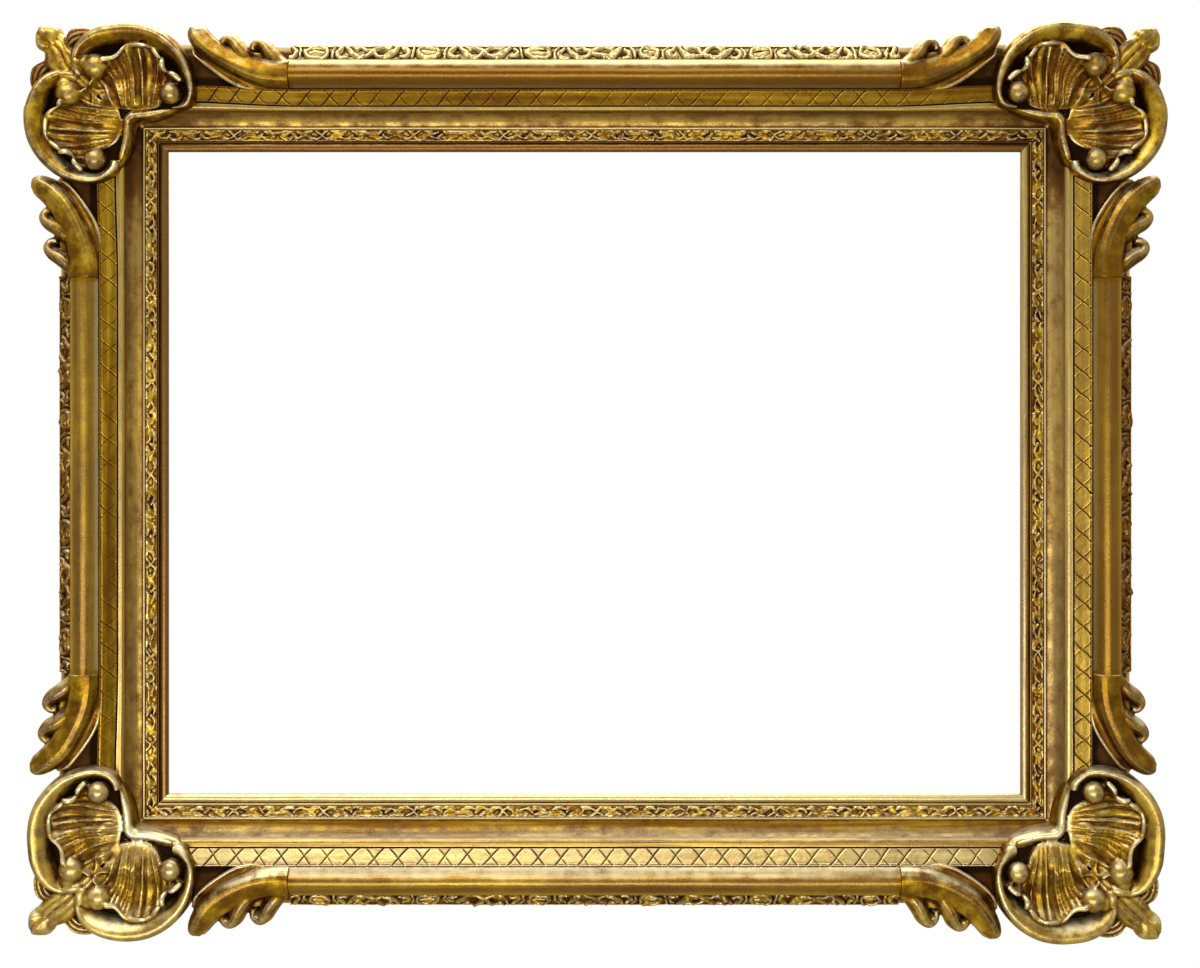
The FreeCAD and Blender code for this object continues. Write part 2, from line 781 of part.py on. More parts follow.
def make_hanger(side):
    """A strap with a rolled knuckle at its upper end, held by two screws."""
    body = new_body(f"strap_{side}")
    half = size("strap_width") / 2
    sag = half * QUARTER_SAG_SHARE
    foot = -size("strap_length")
    strap = Outline(body, "strap", "XZ_Plane").loop(
        (half, ZERO),
        (-half, ZERO),
        (-half, foot + half, -sag),
        (ZERO, foot, -sag),
        (half, foot + half),
    )
    for alias in ("strap_screw_first", "strap_screw_second"):
        strap.circle(ZERO, -size(alias), size("screw_shank_radius") + size("strap_hole_gap"))
    pad(body, strap, size("strap_thickness"), reverse=True)
    knuckle = Outline(body, "knuckle", "YZ_Plane")
    knuckle.circle(RING_AXIS_DEPTH, ZERO, KNUCKLE_RADIUS)
    knuckle.circle(RING_AXIS_DEPTH, ZERO, KNUCKLE_BORE)
    pad(body, knuckle, size("strap_width"), symmetric=True)
    x, _ = on_side(side, ZERO, size("hanger_from_sight"))
    place_at(body, x, size("hanger_up"))
    return body


RING_WIRE_SIDES = 8
RING_CORNER_STEPS = 3
RING_BOW_STEPS = 10


def ring_route():
    """The D-ring's centre line as (place, way along), clockwise from the left end of its straight leg."""
    wide = SHEET.ring_half_width
    corner = SHEET.ring_corner_radius
    bow = V(0, 0, wide - SHEET.ring_drop)
    route = []
    for centre, radius, start, turn, steps in (
        (V(wide - corner, 0, -corner), corner, 90, 90, RING_CORNER_STEPS),
        (bow, wide, 0, 180, RING_BOW_STEPS),
        (V(corner - wide, 0, -corner), corner, 180, 90, RING_CORNER_STEPS),
    ):
        for step in range(steps + 1):
            angle = math.radians(start - turn * step / steps)
            out = V(math.cos(angle), 0, math.sin(angle))
            route.append((centre + out * radius, out))
    return route


def make_ring(side):
    """A D-ring of bent wire through the knuckle, hanging down over the strap."""
    sections = []
    for centre, out in ring_route():
        section = []
        for number in range(RING_WIRE_SIDES):
            angle = 2 * math.pi * (number + 0.5) / RING_WIRE_SIDES
            section.append(centre + (out * math.cos(angle) + V(0, math.sin(angle), 0)) * SHEET.ring_wire_radius)
        sections.append(section)
    ring = DOC.addObject("Part::Feature", f"ring_{side}")
    ring.Shape = faceted_solid(sections, closed=True)
    x, _ = on_side(side, ZERO, size("hanger_from_sight"))
    place_at(ring, x, size("hanger_up"))
    bind(ring, "Placement.Base.y", RING_AXIS_DEPTH)
    return ring


def make_mirrored(label, source, normal, base=None):
    mirrored = DOC.addObject("Part::Mirroring", label)
    mirrored.Label = label
    mirrored.Source = source
    mirrored.Normal = normal
    if base is not None:
        bind(mirrored, "Base.x", base[0])
        bind(mirrored, "Base.z", base[1])
    return mirrored


def make_castings(near_rails):
    """The castings at the top left corner, and their mirror images at the others."""
    corner = DOC.addObject("Part::Feature", "corner_top_left")
    corner.Shape = make_corner(near_rails)
    leaf = DOC.addObject("Part::Feature", "leaf_top_left")
    leaf.Shape = make_leaf(near_rails, corner.Shape)
    across, upside, mitre = V(1, 0, 0), V(0, 0, 1), V(1, 0, 1)
    castings = [corner, leaf]
    side_leaf = make_mirrored("leaf_left_upper", leaf, mitre, (-HALF_WIDTH, HALF_HEIGHT))
    castings.append(side_leaf)
    for source, right, low_left, low_right in (
        (corner, "corner_top_right", "corner_bottom_left", "corner_bottom_right"),
        (leaf, "leaf_top_right", "leaf_bottom_left", "leaf_bottom_right"),
        (side_leaf, "leaf_right_upper", "leaf_left_lower", "leaf_right_lower"),
    ):
        beside = make_mirrored(right, source, across)
        castings += [beside, make_mirrored(low_left, source, upside), make_mirrored(low_right, beside, upside)]
    return castings


def build():
    """Makes every sub-part and returns them."""
    rails = {side: make_rail(side) for side in SIDES}
    pieces = list(rails.values())
    for side in SIDES:
        pieces += [make_inner_strip(side), make_torus(side), make_outer_strip(side)]
    pieces += make_castings([rails["top"].Shape, rails["left"].Shape])
    for upright, up in (("top", 1), ("bottom", -1)):
        for hand, across in (("left", -1), ("right", 1)):
            pieces.append(make_spline(f"{upright}_{hand}", across, up))
    button_head = size("button_float") * 2 + size("button_thickness")
    button_screws = []
    for side in SIDES:
        for number, along in enumerate(button_places(side), start=1):
            pieces.append(make_button(side, number, along))
            x, z = on_side(side, along, size("button_from_sight"))
            button_screws.append(make_screw(f"button_screw_{side}_{number}", x, z, button_head))
    pieces.append(make_group("button_screws", button_screws))
    hanger_screws = []
    straps = []
    for side in ("left", "right"):
        straps.append(make_hanger(side))
        pieces.append(make_ring(side))
        for number, along in enumerate(hanger_screw_places(side), start=1):
            x, z = on_side(side, along, size("hanger_from_sight"))
            hanger_screws.append(make_screw(f"hanger_screw_{side}_{number}", x, z, size("strap_thickness")))
    pieces.append(make_group("strap_hangers", straps))
    pieces.append(make_group("hanger_screws", hanger_screws))
    return pieces


def check(pieces):
    for thing in DOC.Objects:
        if "Invalid" in thing.State or "Error" in thing.State:
            raise ValueError(f"{thing.Label} failed: {thing.State}")
    for piece in pieces:
        shape = piece.Shape
        if shape.isNull() or not shape.isValid() or not shape.Solids:
            raise ValueError(f"{piece.Label} has no sound shape")


PIECES = build()
DOC.recompute()
check(PIECES)
os.makedirs("parts", exist_ok=True)
for piece in PIECES:
    piece.Shape.exportStep(f"parts/{piece.Label}.step")
print(len(PIECES), "nodes,", sum(len(piece.Shape.Solids) for piece in PIECES), "solids")
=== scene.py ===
import math

import bpy
import numpy as np
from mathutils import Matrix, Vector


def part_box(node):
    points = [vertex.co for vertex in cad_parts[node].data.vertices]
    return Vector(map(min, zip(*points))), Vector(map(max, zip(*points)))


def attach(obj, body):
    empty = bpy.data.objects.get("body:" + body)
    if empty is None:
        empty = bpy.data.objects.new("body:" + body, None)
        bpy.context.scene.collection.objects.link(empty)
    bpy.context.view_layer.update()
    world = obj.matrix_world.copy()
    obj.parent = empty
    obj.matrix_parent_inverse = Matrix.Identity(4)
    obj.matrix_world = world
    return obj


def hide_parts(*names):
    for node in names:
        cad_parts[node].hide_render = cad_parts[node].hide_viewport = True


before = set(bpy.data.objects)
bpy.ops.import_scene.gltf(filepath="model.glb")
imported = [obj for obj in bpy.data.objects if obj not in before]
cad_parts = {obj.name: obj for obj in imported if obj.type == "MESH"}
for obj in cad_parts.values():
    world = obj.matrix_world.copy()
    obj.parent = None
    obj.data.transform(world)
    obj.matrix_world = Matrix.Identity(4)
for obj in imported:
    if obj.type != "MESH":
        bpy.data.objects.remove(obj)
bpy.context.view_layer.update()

# A gilded picture frame in the swept manner. Places on it are worked out in millimetres, in two ways:
# on a rail as (along, out, height), out from the sight edge and height above the back of the rail;
# at a corner as (u, v, height), u and v out from the sight corner, u below zero along the long rail.
# The metres of the scene come in only where a mesh is written.

MM = 0.001
HALF_WIDTH = -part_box("rail_left")[1][0] / MM
HALF_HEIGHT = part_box("rail_top")[0][2] / MM
RAIL_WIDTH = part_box("rail_top")[1][2] / MM - HALF_HEIGHT

# the world axis that each rail lies along, and half the opening along that axis and across it
WAY = {"top": 0, "right": 2, "bottom": 0, "left": 2}
SIDES = tuple(WAY)
HALF_OPENING = {side: HALF_HEIGHT if WAY[side] else HALF_WIDTH for side in SIDES}
SIGHT_EDGE = {side: HALF_WIDTH if WAY[side] else HALF_HEIGHT for side in SIDES}
TORUS_HALF = {side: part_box(f"torus_{side}")[1][WAY[side]] / MM for side in SIDES}

# how brown each part is toned on the sides, in their order above, and below 0 how pale; toning, with painted
# light and shade in how the sides differ: paler on the lit sides, browner on the shaded ones
TONING_AND_PAINTED_LIGHT = {part: dict(zip(SIDES, ages)) for part, ages in {
    "lip": (1.0, 0.1, -0.4, 0.85),
    "inner_strip": (0.3, 0.3, -0.15, -0.2),
    "cove": (-0.3, -0.35, -0.15, -0.3),
    "frieze": (0.4, -0.25, -0.38, 0.0),
    "torus": (0.75, 0.6, 0.25, 0.1),
    "leaf": (0.5, 0.5, 0.2, 0.3),
    "outer_strip": (-0.4, 1.0, 0.1, 0.7),
}.items()}

# how much nearer to the sight edge the hand-laid outer bands of a rail sit
DRAWN_IN = {"top": 3.0, "right": 0.0, "bottom": 0.0, "left": 1.8}

# where each band of the moulding starts and ends, out from the sight edge
LAP = 6.0
LIP_END = 7.5
STRIP_END = 15.0
COVE_END = 29.5
FILLET_END = 32.0
GROOVE_END = 33.2
FRIEZE_END = 43.5
TORUS_END = 64.5

# heights above the back of the rail
REBATE = 14.0
LIP_HEIGHT = 17.0
STRIP_SEAT = 18.5
COVE_FOOT = 20.5
FILLET_HEIGHT = 33.0
GROOVE_FLOOR = 31.5
FRIEZE_FOOT = 33.5
FRIEZE_HEAD = 39.5
TORUS_SEAT = 35.5
TORUS_EDGE = 37.5
OUTER_SEAT = 32.5
OUTER_EDGE = 24.5

# how far the torus stands up and the outer wall leans in
TORUS_RISE = 9.0
WALL_BATTER = 3.5


# Meshes

def only(*pieces):
    """Selects these pieces alone, the first of them as the active one."""
    bpy.ops.object.select_all(action="DESELECT")
    for piece in pieces:
        piece.select_set(True)
    bpy.context.view_layer.objects.active = pieces[0]


def linked(item):
    """Puts a new object in the scene."""
    bpy.context.scene.collection.objects.link(item)
    return item


def copied(piece):
    copy = piece.copy()
    copy.data = piece.data.copy()
    return linked(copy)


def mesh_piece(name, places, faces):
    """A new piece from places and from faces as rows of corner numbers."""
    mesh = bpy.data.meshes.new(name)
    mesh.from_pydata(np.asarray(places).tolist(), [], [list(face) for face in faces])
    mesh.update()
    return linked(bpy.data.objects.new(name, mesh))


def table_of(rows, key, width=3, kind=float):
    """One property of all the points, edges, faces or corners of a mesh."""
    flat = np.empty(len(rows) * width, dtype=kind)
    rows.foreach_get(key, flat)
    return flat.reshape(-1, width)


def places_of(mesh):
    return table_of(mesh.vertices, "co")


def unit(rows):
    return rows / np.linalg.norm(rows, axis=1)[:, None]


def height_of(piece):
    """Heights above the back of the rails, in millimetres."""
    return -places_of(piece.data)[:, 1] / MM


def put_places(mesh, places):
    mesh.vertices.foreach_set("co", np.ascontiguousarray(places, dtype=np.float32).ravel())
    mesh.update()


def loop_faces(rows, columns):
    """Quads of a tube of closed rings, one ring a row, with a face over each end."""
    row, column = np.meshgrid(np.arange(rows - 1), np.arange(columns), indexing="ij")
    beyond = (column + 1) % columns
    corners = (row * columns + column, row * columns + beyond,
               (row + 1) * columns + beyond, (row + 1) * columns + column)
    quads = np.stack([corner.ravel() for corner in corners], axis=1).tolist()
    first = list(range(columns))[::-1]
    last = list(range((rows - 1) * columns, rows * columns))
    return quads + [first, last]


def outward(piece):
    """Turns a closed piece's faces outwards."""
    only(piece)
    bpy.ops.object.mode_set(mode="EDIT")
    bpy.ops.mesh.select_all(action="SELECT")
    bpy.ops.mesh.normals_make_consistent(inside=False)
    bpy.ops.object.mode_set(mode="OBJECT")


def smooth_shaded(piece, degrees):
    only(piece)
    bpy.ops.object.shade_smooth_by_angle(angle=math.radians(degrees))


# Curves and noise, in millimetres

def eased(low, high, value):
    """0 below low, 1 above high and a smooth ramp between them."""
    share = np.clip((value - low) / (high - low), 0, 1)
    return share * share * (3 - 2 * share)


def smooth_path(stations, steps):
    """A smooth curve through the stations, whatever their number of columns."""
    s = np.asarray(stations, dtype=float)
    s = np.vstack([2 * s[0] - s[1], s, 2 * s[-1] - s[-2]])
    t = (np.arange(steps) / steps)[:, None]
    runs = []
    for a, b, c, d in zip(s, s[1:], s[2:], s[3:]):
        runs.append((2 * b + (c - a) * t + (2 * a - 5 * b + 4 * c - d) * t**2
                     + (3 * b - a - 3 * c + d) * t**3) / 2)
    runs.append(s[-2][None])
    return np.vstack(runs)


def hashed(column, row, seed):
    """A number from 0 to 1 that looks drawn by lot, always the same for a cell of the grid."""
    value = np.sin(column * 127.1 + row * 311.7 + seed * 74.7) * 43758.5453
    return value - np.floor(value)


def wobble(x, y, seed):
    """Smooth noise between -1 and 1, with one swing or so a unit."""
    column, row = np.floor(x), np.floor(y)
    across, up = x - column, y - row
    across = across * across * (3 - 2 * across)
    up = up * up * (3 - 2 * up)
    low = hashed(column, row, seed) * (1 - across) + hashed(column + 1, row, seed) * across
    high = hashed(column, row + 1, seed) * (1 - across) + hashed(column + 1, row + 1, seed) * across
    return (low * (1 - up) + high * up) * 2 - 1


def drawn_in(side, along, out, height):
    """How far a point on a rail is moved towards the sight edge."""
    clear = 1 - eased(HALF_OPENING[side] - 95, HALF_OPENING[side] - 15, np.abs(along))
    share = eased(24, 34, out) - 0.3 * eased(64, 74, out)
    return DRAWN_IN[side] * share * clear * eased(0, 16, height)


def on_side(side, along, out, height):
    """World places, in metres, of points on a rail."""
    out = out - drawn_in(side, along, out, height)
    edge = out + SIGHT_EDGE[side]
    x, z = {"top": (along, edge), "right": (edge, -along),
            "bottom": (-along, -edge), "left": (-edge, along)}[side]
    return np.stack([x, -height, z], axis=-1) * MM


def from_end(piece, side, half):
    """How far the points of a length on a rail lie from its nearer end."""
    return half - np.abs(places_of(piece.data)[:, WAY[side]]) / MM


# Wear, grime and toning, with painted light and shade

def relief(piece, rounds, reach_mm):
    """How deep each point lies in a hollow, up to 1, or how far out on a ridge, down to -1.

    It is measured against copies of the mesh, smoothed this many rounds, in shares of these reaches."""
    mesh = piece.data
    places = places_of(mesh) / MM
    edges = table_of(mesh.edges, "vertices", 2, int)
    normals = table_of(mesh.vertex_normals, "vector")
    size = len(places)
    count = np.maximum(np.bincount(edges.ravel(), minlength=size), 1)
    smooth = places
    result = np.zeros(size)
    done = 0
    a, b = edges.T
    for target, reach in zip(rounds, reach_mm):
        while done < target:
            total = [np.bincount(a, axis[b], size) + np.bincount(b, axis[a], size) for axis in smooth.T]
            smooth = np.stack(total, axis=1) / count[:, None]
            done += 1
        result += np.einsum("ij,ij->i", smooth - places, normals) / reach
    return np.clip(result / len(rounds), -1, 1)


def mark_hollow_toning_and_light(piece, hollow, toning_and_painted_light):
    """Marks how deep the points lie, with painted shade added in places, and how brown they are toned, or
    below 0 how pale, with painted light and shade in it.
    """
    for name, values in (("hollow", hollow), ("toning_and_painted_light", toning_and_painted_light)):
        values = np.broadcast_to(values, len(piece.data.vertices)).astype(np.float32)
        piece.data.attributes.new(name, "FLOAT", "POINT").data.foreach_set("value", values)


def lay_map(piece, along, out):
    """A map of metres along and across a moulding, for the brushed streaks that follow it."""
    layer = piece.data.uv_layers.new(name="lay")
    corners = table_of(piece.data.loops, "vertex_index", 1, int)[:, 0]
    pairs = np.stack([along[corners], out[corners]], axis=1) * MM
    layer.data.foreach_set("uv", pairs.astype(np.float32).ravel())


# Finishes

def linear(red, green, blue):
    """A colour as seen on a screen, from 0 to 255, as the shader's own numbers."""
    shares = [channel / 255 for channel in (red, green, blue)]
    return tuple(s / 12.92 if s <= 0.04045 else ((s + 0.055) / 1.055) ** 2.4 for s in shares) + (1.0,)


class Wire:
    """A value in a node tree. Arithmetic on it adds Math nodes."""

    def __init__(self, maker, socket):
        self.maker = maker
        self.socket = socket

    def math(self, operation, *values, clamp=False):
        inputs = dict(enumerate((self, *values)))
        return self.maker.node("Math", {"operation": operation, "use_clamp": clamp}, inputs)

    def __add__(self, other):
        return self.math("ADD", other)

    def __sub__(self, other):
        return self.math("SUBTRACT", other)

    def __rsub__(self, other):
        return self.maker.node("Math", {"operation": "SUBTRACT"}, {0: other, 1: self})

    def __mul__(self, other):
        return self.math("MULTIPLY", other)

    __radd__ = __add__
    __rmul__ = __mul__

    def clamped(self):
        return self.math("ADD", 0.0, clamp=True)

    def ramp(self, low, high):
        """0 below low, 1 above high, smooth between."""
        return self.maker.node("MapRange", {"interpolation_type": "SMOOTHSTEP"},
                               {"Value": self, "From Min": low, "From Max": high})


class NodeMaker:
    """The nodes of a material or a world, all made by one method."""

    def __init__(self, owner):
        owner.use_nodes = True
        self.owner = owner
        self.tree = owner.node_tree
        self.tree.nodes.clear()

    def node(self, kind, settings=None, inputs=None, output=0):
        made = self.tree.nodes.new("ShaderNode" + kind)
        for setting, value in (settings or {}).items():
            setattr(made, setting, value)
        for key, value in (inputs or {}).items():
            if isinstance(value, Wire):
                self.tree.links.new(value.socket, made.inputs[key])
            else:
                made.inputs[key].default_value = value
        return Wire(self, made.outputs[output]) if made.outputs else None

    def mix(self, share, first, second):
        return self.node("Mix", {"data_type": "RGBA"}, {"Factor": share, 6: first, 7: second}, output=2)

    def noise(self, vector, scale, detail=3.0, roughness=0.5):
        inputs = {"Vector": vector, "Scale": scale, "Detail": detail, "Roughness": roughness}
        return self.node("TexNoise", {}, inputs)

    def drawn_out(self, vector, scale, detail, roughness):
        """Noise that is stretched one way, with a scale along and a scale across."""
        mapped = self.node("Mapping", {}, {"Vector": vector, "Scale": (*scale, 1.0)})
        return self.noise(mapped, 1.0, detail, roughness)

    def bump(self, height, distance, strength):
        return self.node("Bump", {}, {"Height": height, "Distance": distance, "Strength": strength})

    def attribute(self, name):
        return self.node("Attribute", {"attribute_name": name}, output="Fac")

    def material(self, **inputs):
        """Ends the tree with a surface that has these inputs."""
        named = {key.replace("_", " "): value for key, value in inputs.items()}
        self.node("OutputMaterial", {}, {"Surface": self.node("BsdfPrincipled", {}, named)})
        return self.owner


PALE_GOLD = linear(227, 216, 175)
LIGHT_GOLD = linear(186, 154, 44)
GOLD = linear(142, 109, 11)
BROWN_GOLD = linear(96, 61, 4)
ORANGE_GOLD = linear(152, 100, 9)
UMBER = linear(78, 32, 4)
BLACK_UMBER = linear(22, 6, 2)
RED_BOLE = linear(92, 30, 12)


def gilding(name, streaked, dirt_and_shade, bole, warmth, worn, dust_and_highlight_share, worn_at=(0.10, 0.65)):
    """Old gold leaf: toned and brushed, umber in hollows and near black in the deepest as painted shade,
    rubbed and pale on ridges as wear with a painted highlight, dusted and with a painted highlight where it
    faces up.
    """
    f = NodeMaker(bpy.data.materials.new(name))
    place = f.node("TexCoord", output="Object")
    wide = f.noise(place, 9.0, 2.0)
    mottle = f.noise(place, 95.0, 5.0, 0.6)
    grain = f.noise(place, 700.0, 3.0, 0.6)
    hollow, toning_and_painted_light = f.attribute("hollow"), f.attribute("toning_and_painted_light")
    raised, pale = 0.0 - hollow, 0.0 - toning_and_painted_light
    uneven, speckled = mottle - 0.5, grain - 0.5
    streak = mottle
    if streaked:
        lay = f.node("UVMap", {"uv_map": "lay"})
        wide_strokes = f.drawn_out(lay, (5.0, 150.0), 3.0, 0.55)
        fine_strokes = f.drawn_out(lay, (18.0, 620.0), 3.0, 0.6)
        streak = (wide_strokes * 0.95 + fine_strokes * 0.5 - 0.72) * streaked + 0.5
    tone = (wide * 0.35 + streak * 1.2 + mottle * 0.25).ramp(0.68, 1.08)
    facing = f.node("SeparateXYZ", {}, {"Vector": f.node("TexCoord", output="Normal")}, output="Z")
    # painted highlight with dusting: what faces up is paler, as where the light from above falls on it
    dust_and_highlight = (facing + uneven * 0.8 + (streak - 0.5) * 0.8).ramp(0.35, 1.10)
    browned = toning_and_painted_light.ramp(0.0, 1.0)
    # pale ridges: rubbed wear, and a painted highlight on the crests
    ridge = (raised + speckled * 0.3).ramp(*worn_at)
    rubbed = (raised.ramp(0.15, 0.7) * mottle.ramp(0.56, 0.66) * bole).clamped()
    # umber patina in the hollows, and near black in the deepest as painted shade; the hollow marks also carry
    # painted shade
    stain_and_shade = (hollow + uneven * 0.5 + speckled * 0.2 + dirt_and_shade).ramp(0.06, 0.42)
    deep = (hollow + uneven * 0.3 + dirt_and_shade).ramp(0.30, 0.70)
    colour = f.mix(tone, BROWN_GOLD, GOLD)
    for share, tint in (
            ((wide * 0.5 + streak * 0.7 + mottle * 0.2).ramp(0.70, 0.92) * 0.75, LIGHT_GOLD),
            ((wide * 0.8 + mottle * 0.4).ramp(0.5, 0.8) * warmth, ORANGE_GOLD),
            # toning with painted light and shade: browner, and below 0 paler as if lit
            (browned, BROWN_GOLD),
            (pale.ramp(0.0, 0.5) * 0.35, LIGHT_GOLD),
            (pale.ramp(0.15, 1.0), PALE_GOLD),
            # dusting and a painted highlight on what faces up
            (dust_and_highlight * dust_and_highlight_share, PALE_GOLD),
            # rubbed wear on ridges, with a painted highlight on the crests
            (ridge * worn * (1.0 - browned * 0.85), PALE_GOLD),
            (rubbed, RED_BOLE),
            # umber patina, then near-black painted shade in the deepest hollows
            (stain_and_shade * 0.85, UMBER),
            (deep, BLACK_UMBER)):
        colour = f.mix(share, colour, tint)
    rough = (0.30 + uneven * 0.25 + speckled * 0.15 + stain_and_shade * 0.3 + dust_and_highlight * 0.08).clamped()
    metal = (0.95 - stain_and_shade * 0.2 - rubbed * 0.4 - dust_and_highlight * 0.25).clamped()
    coat = (0.09 - stain_and_shade * 0.05 - deep * 0.05).clamped()
    bump = f.bump(grain * 0.6 + mottle * 0.8 + streak * 0.4, 0.00035, 0.5)
    return f.material(Base_Color=colour, Roughness=rough, Metallic=metal, Normal=bump, Coat_Weight=coat,
                      Coat_Roughness=0.3, Specular_IOR_Level=0.3, Specular_Tint=(0.80, 0.58, 0.22, 1.0))


def timber(name, light, dark, ring, laid=True):
    """Softwood or hardwood with its grain along the lay, under a thin wash."""
    f = NodeMaker(bpy.data.materials.new(name))
    lay = f.node("UVMap", {"uv_map": "lay"}) if laid else f.node("TexCoord", output="Object")
    grain = f.drawn_out(lay, (7.0, ring), 6.0, 0.65)
    fibre = f.drawn_out(lay, (60.0, 2400.0), 3.0, 0.6)
    blot = f.noise(f.node("TexCoord", output="Object"), 30.0, 4.0)
    colour = f.mix((grain * 0.8 + fibre * 0.35).ramp(0.42, 0.75), dark, light)
    colour = f.mix(blot.ramp(0.55, 0.8) * 0.35, colour, UMBER)
    rough = (0.62 + (fibre - 0.5) * 0.25).clamped()
    bump = f.bump(grain + fibre * 0.5, 0.0004, 0.6)
    return f.material(Base_Color=colour, Roughness=rough, Normal=bump)


def worn_metal(name, light, dark, rough):
    f = NodeMaker(bpy.data.materials.new(name))
    place = f.node("TexCoord", output="Object")
    blot = f.noise(place, 260.0, 5.0, 0.6)
    fine = f.noise(place, 1800.0, 2.0)
    colour = f.mix((blot * 0.8 + fine * 0.3).ramp(0.42, 0.72), dark, light)
    roughness = (rough + (blot - 0.5) * 0.3).clamped()
    bump = f.bump(fine + blot * 0.4, 0.0001, 0.3)
    return f.material(Base_Color=colour, Roughness=roughness, Metallic=1.0, Normal=bump)


GILT_RAIL = gilding("gilt_rail", streaked=1.0, dirt_and_shade=0.04, bole=0.2, warmth=0.25, worn=0.25, dust_and_highlight_share=0.4)
GILT_TORUS = gilding("gilt_torus", streaked=0.6, dirt_and_shade=0.0, bole=0.3, warmth=0.1, worn=0.25, dust_and_highlight_share=0.55)
GILT_STRIP = gilding("gilt_strip", streaked=0.0, dirt_and_shade=-0.10, bole=0.3, warmth=0.08, worn=0.35, dust_and_highlight_share=0.5)
GILT_CASTING = gilding("gilt_casting", streaked=0.0, dirt_and_shade=0.08, bole=0.25, warmth=0.04, worn=0.6, dust_and_highlight_share=0.8,
                       worn_at=(0.06, 0.50))
WASHED_WOOD = timber("washed_wood", linear(186, 140, 78), linear(128, 86, 42), ring=90.0)
HARDWOOD = timber("hardwood", linear(142, 96, 58), linear(88, 52, 28), ring=140.0, laid=False)
BRASS = worn_metal("dull_brass", linear(178, 148, 84), linear(142, 112, 58), 0.42)
STEEL = worn_metal("zinc_steel", linear(180, 180, 176), linear(142, 142, 140), 0.38)


def finished(piece, slot, node, *finishes):
    """Gives a piece its finishes, hangs it on the frame's body and hides the node it stands for; slot is not
    used.
    """
    for finish in finishes:
        piece.data.materials.append(finish)
    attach(piece, "frame")
    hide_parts(node)


# Mouldings

def run(start, end, step):
    """Points from start towards end, without the end."""
    start, end = np.array((start, end), dtype=float)
    count = max(int(round(np.linalg.norm(end - start) / step)), 1)
    return start + (end - start) * (np.arange(count) / count)[:, None]


def bow(start, end, sag, step):
    """Points along a shallow arc that stands off its chord by sag, to the left of its way."""
    points = run(start, end, step)
    way = np.subtract(end, start)
    length = np.linalg.norm(way)
    share = np.linalg.norm(points - points[0], axis=1) / length
    off = 4 * sag * share * (1 - share)
    return points + off[:, None] * np.array([-way[1], way[0]]) / length


def banded(start, bands):
    """A profile from a start through bands, each given by its end, its sag and its step."""
    parts = []
    for end, sag, step in bands:
        parts.append(bow(start, end, sag, step))
        start = end
    return np.vstack(parts)


def moulding(name, side, profile, spacing, half, carve, pad=None):
    """A carved length with a closed profile of (out, height) points. Its ends are square, or mitred by
    spreading the stations over the last pad millimetres."""
    profile = np.asarray(profile)
    out, height = profile[:, 0], profile[:, 1]
    middle = (out.min() + out.max()) / 2
    reach = half + middle if pad else half
    count = int(round(2 * reach / spacing)) + 1
    station = np.linspace(-reach, reach, count)[:, None]
    along = np.repeat(station, len(profile), axis=1)
    if pad:
        inner = half - pad
        stretched = inner + (np.abs(along) - inner) * (pad + out) / (pad + middle)
        along = np.where(np.abs(along) > inner, np.sign(along) * stretched, along)
    out = np.repeat(out[None], count, axis=0)
    height = np.repeat(height[None], count, axis=0)
    out, height = carve(along, out, height)
    places = on_side(side, along, out, height).reshape(-1, 3)
    piece = mesh_piece(name, places, loop_faces(count, len(profile)))
    outward(piece)
    lay_map(piece, along.ravel(), out.ravel())
    return piece


RAIL_BANDS = (
    # each band's end as (out, height), how far it bows to the left of its way, step between its points;
    # the frieze is laid on apart
    ((0, LIP_HEIGHT - 0.6), 0, 1.2),
    ((5.6, LIP_HEIGHT), 1.3, 0.7),
    ((6.4, LIP_HEIGHT - 0.1), -0.5, 0.4),
    ((LIP_END, LIP_HEIGHT), 0.45, 0.4),
    ((LIP_END + 0.1, STRIP_SEAT - 0.6), 0, 1.2),
    ((STRIP_END, STRIP_SEAT - 0.6), 0, 3.0),
    ((STRIP_END, COVE_FOOT + 0.2), 0, 0.9),
    ((16.7, COVE_FOOT + 0.7), 0.55, 0.5),
    ((27.2, FILLET_HEIGHT - 1.9), -2.3, 0.8),
    ((COVE_END, FILLET_HEIGHT), 0.35, 0.5),
    ((FILLET_END, FILLET_HEIGHT), 0, 0.6),
    ((FILLET_END + 0.2, GROOVE_FLOOR), 0, 0.5),
    ((GROOVE_END - 0.1, GROOVE_FLOOR), 0, 0.5),
    ((FRIEZE_END, FRIEZE_HEAD - 2.5), 0, 5.0),
    ((FRIEZE_END, TORUS_SEAT), 0, 3.0),
    ((TORUS_END, TORUS_SEAT), 0, 7.0),
    ((TORUS_END, OUTER_SEAT), 0, 3.0),
    ((RAIL_WIDTH, OUTER_EDGE), 0, 3.0),
    ((RAIL_WIDTH - WALL_BATTER, 0), 0, 3.5),
    # round the back and into the rebate
    ((LAP, 0), 0, 8.0),
    ((LAP, REBATE), 0, 4.0),
    ((0, REBATE), 0, 3.0),
)


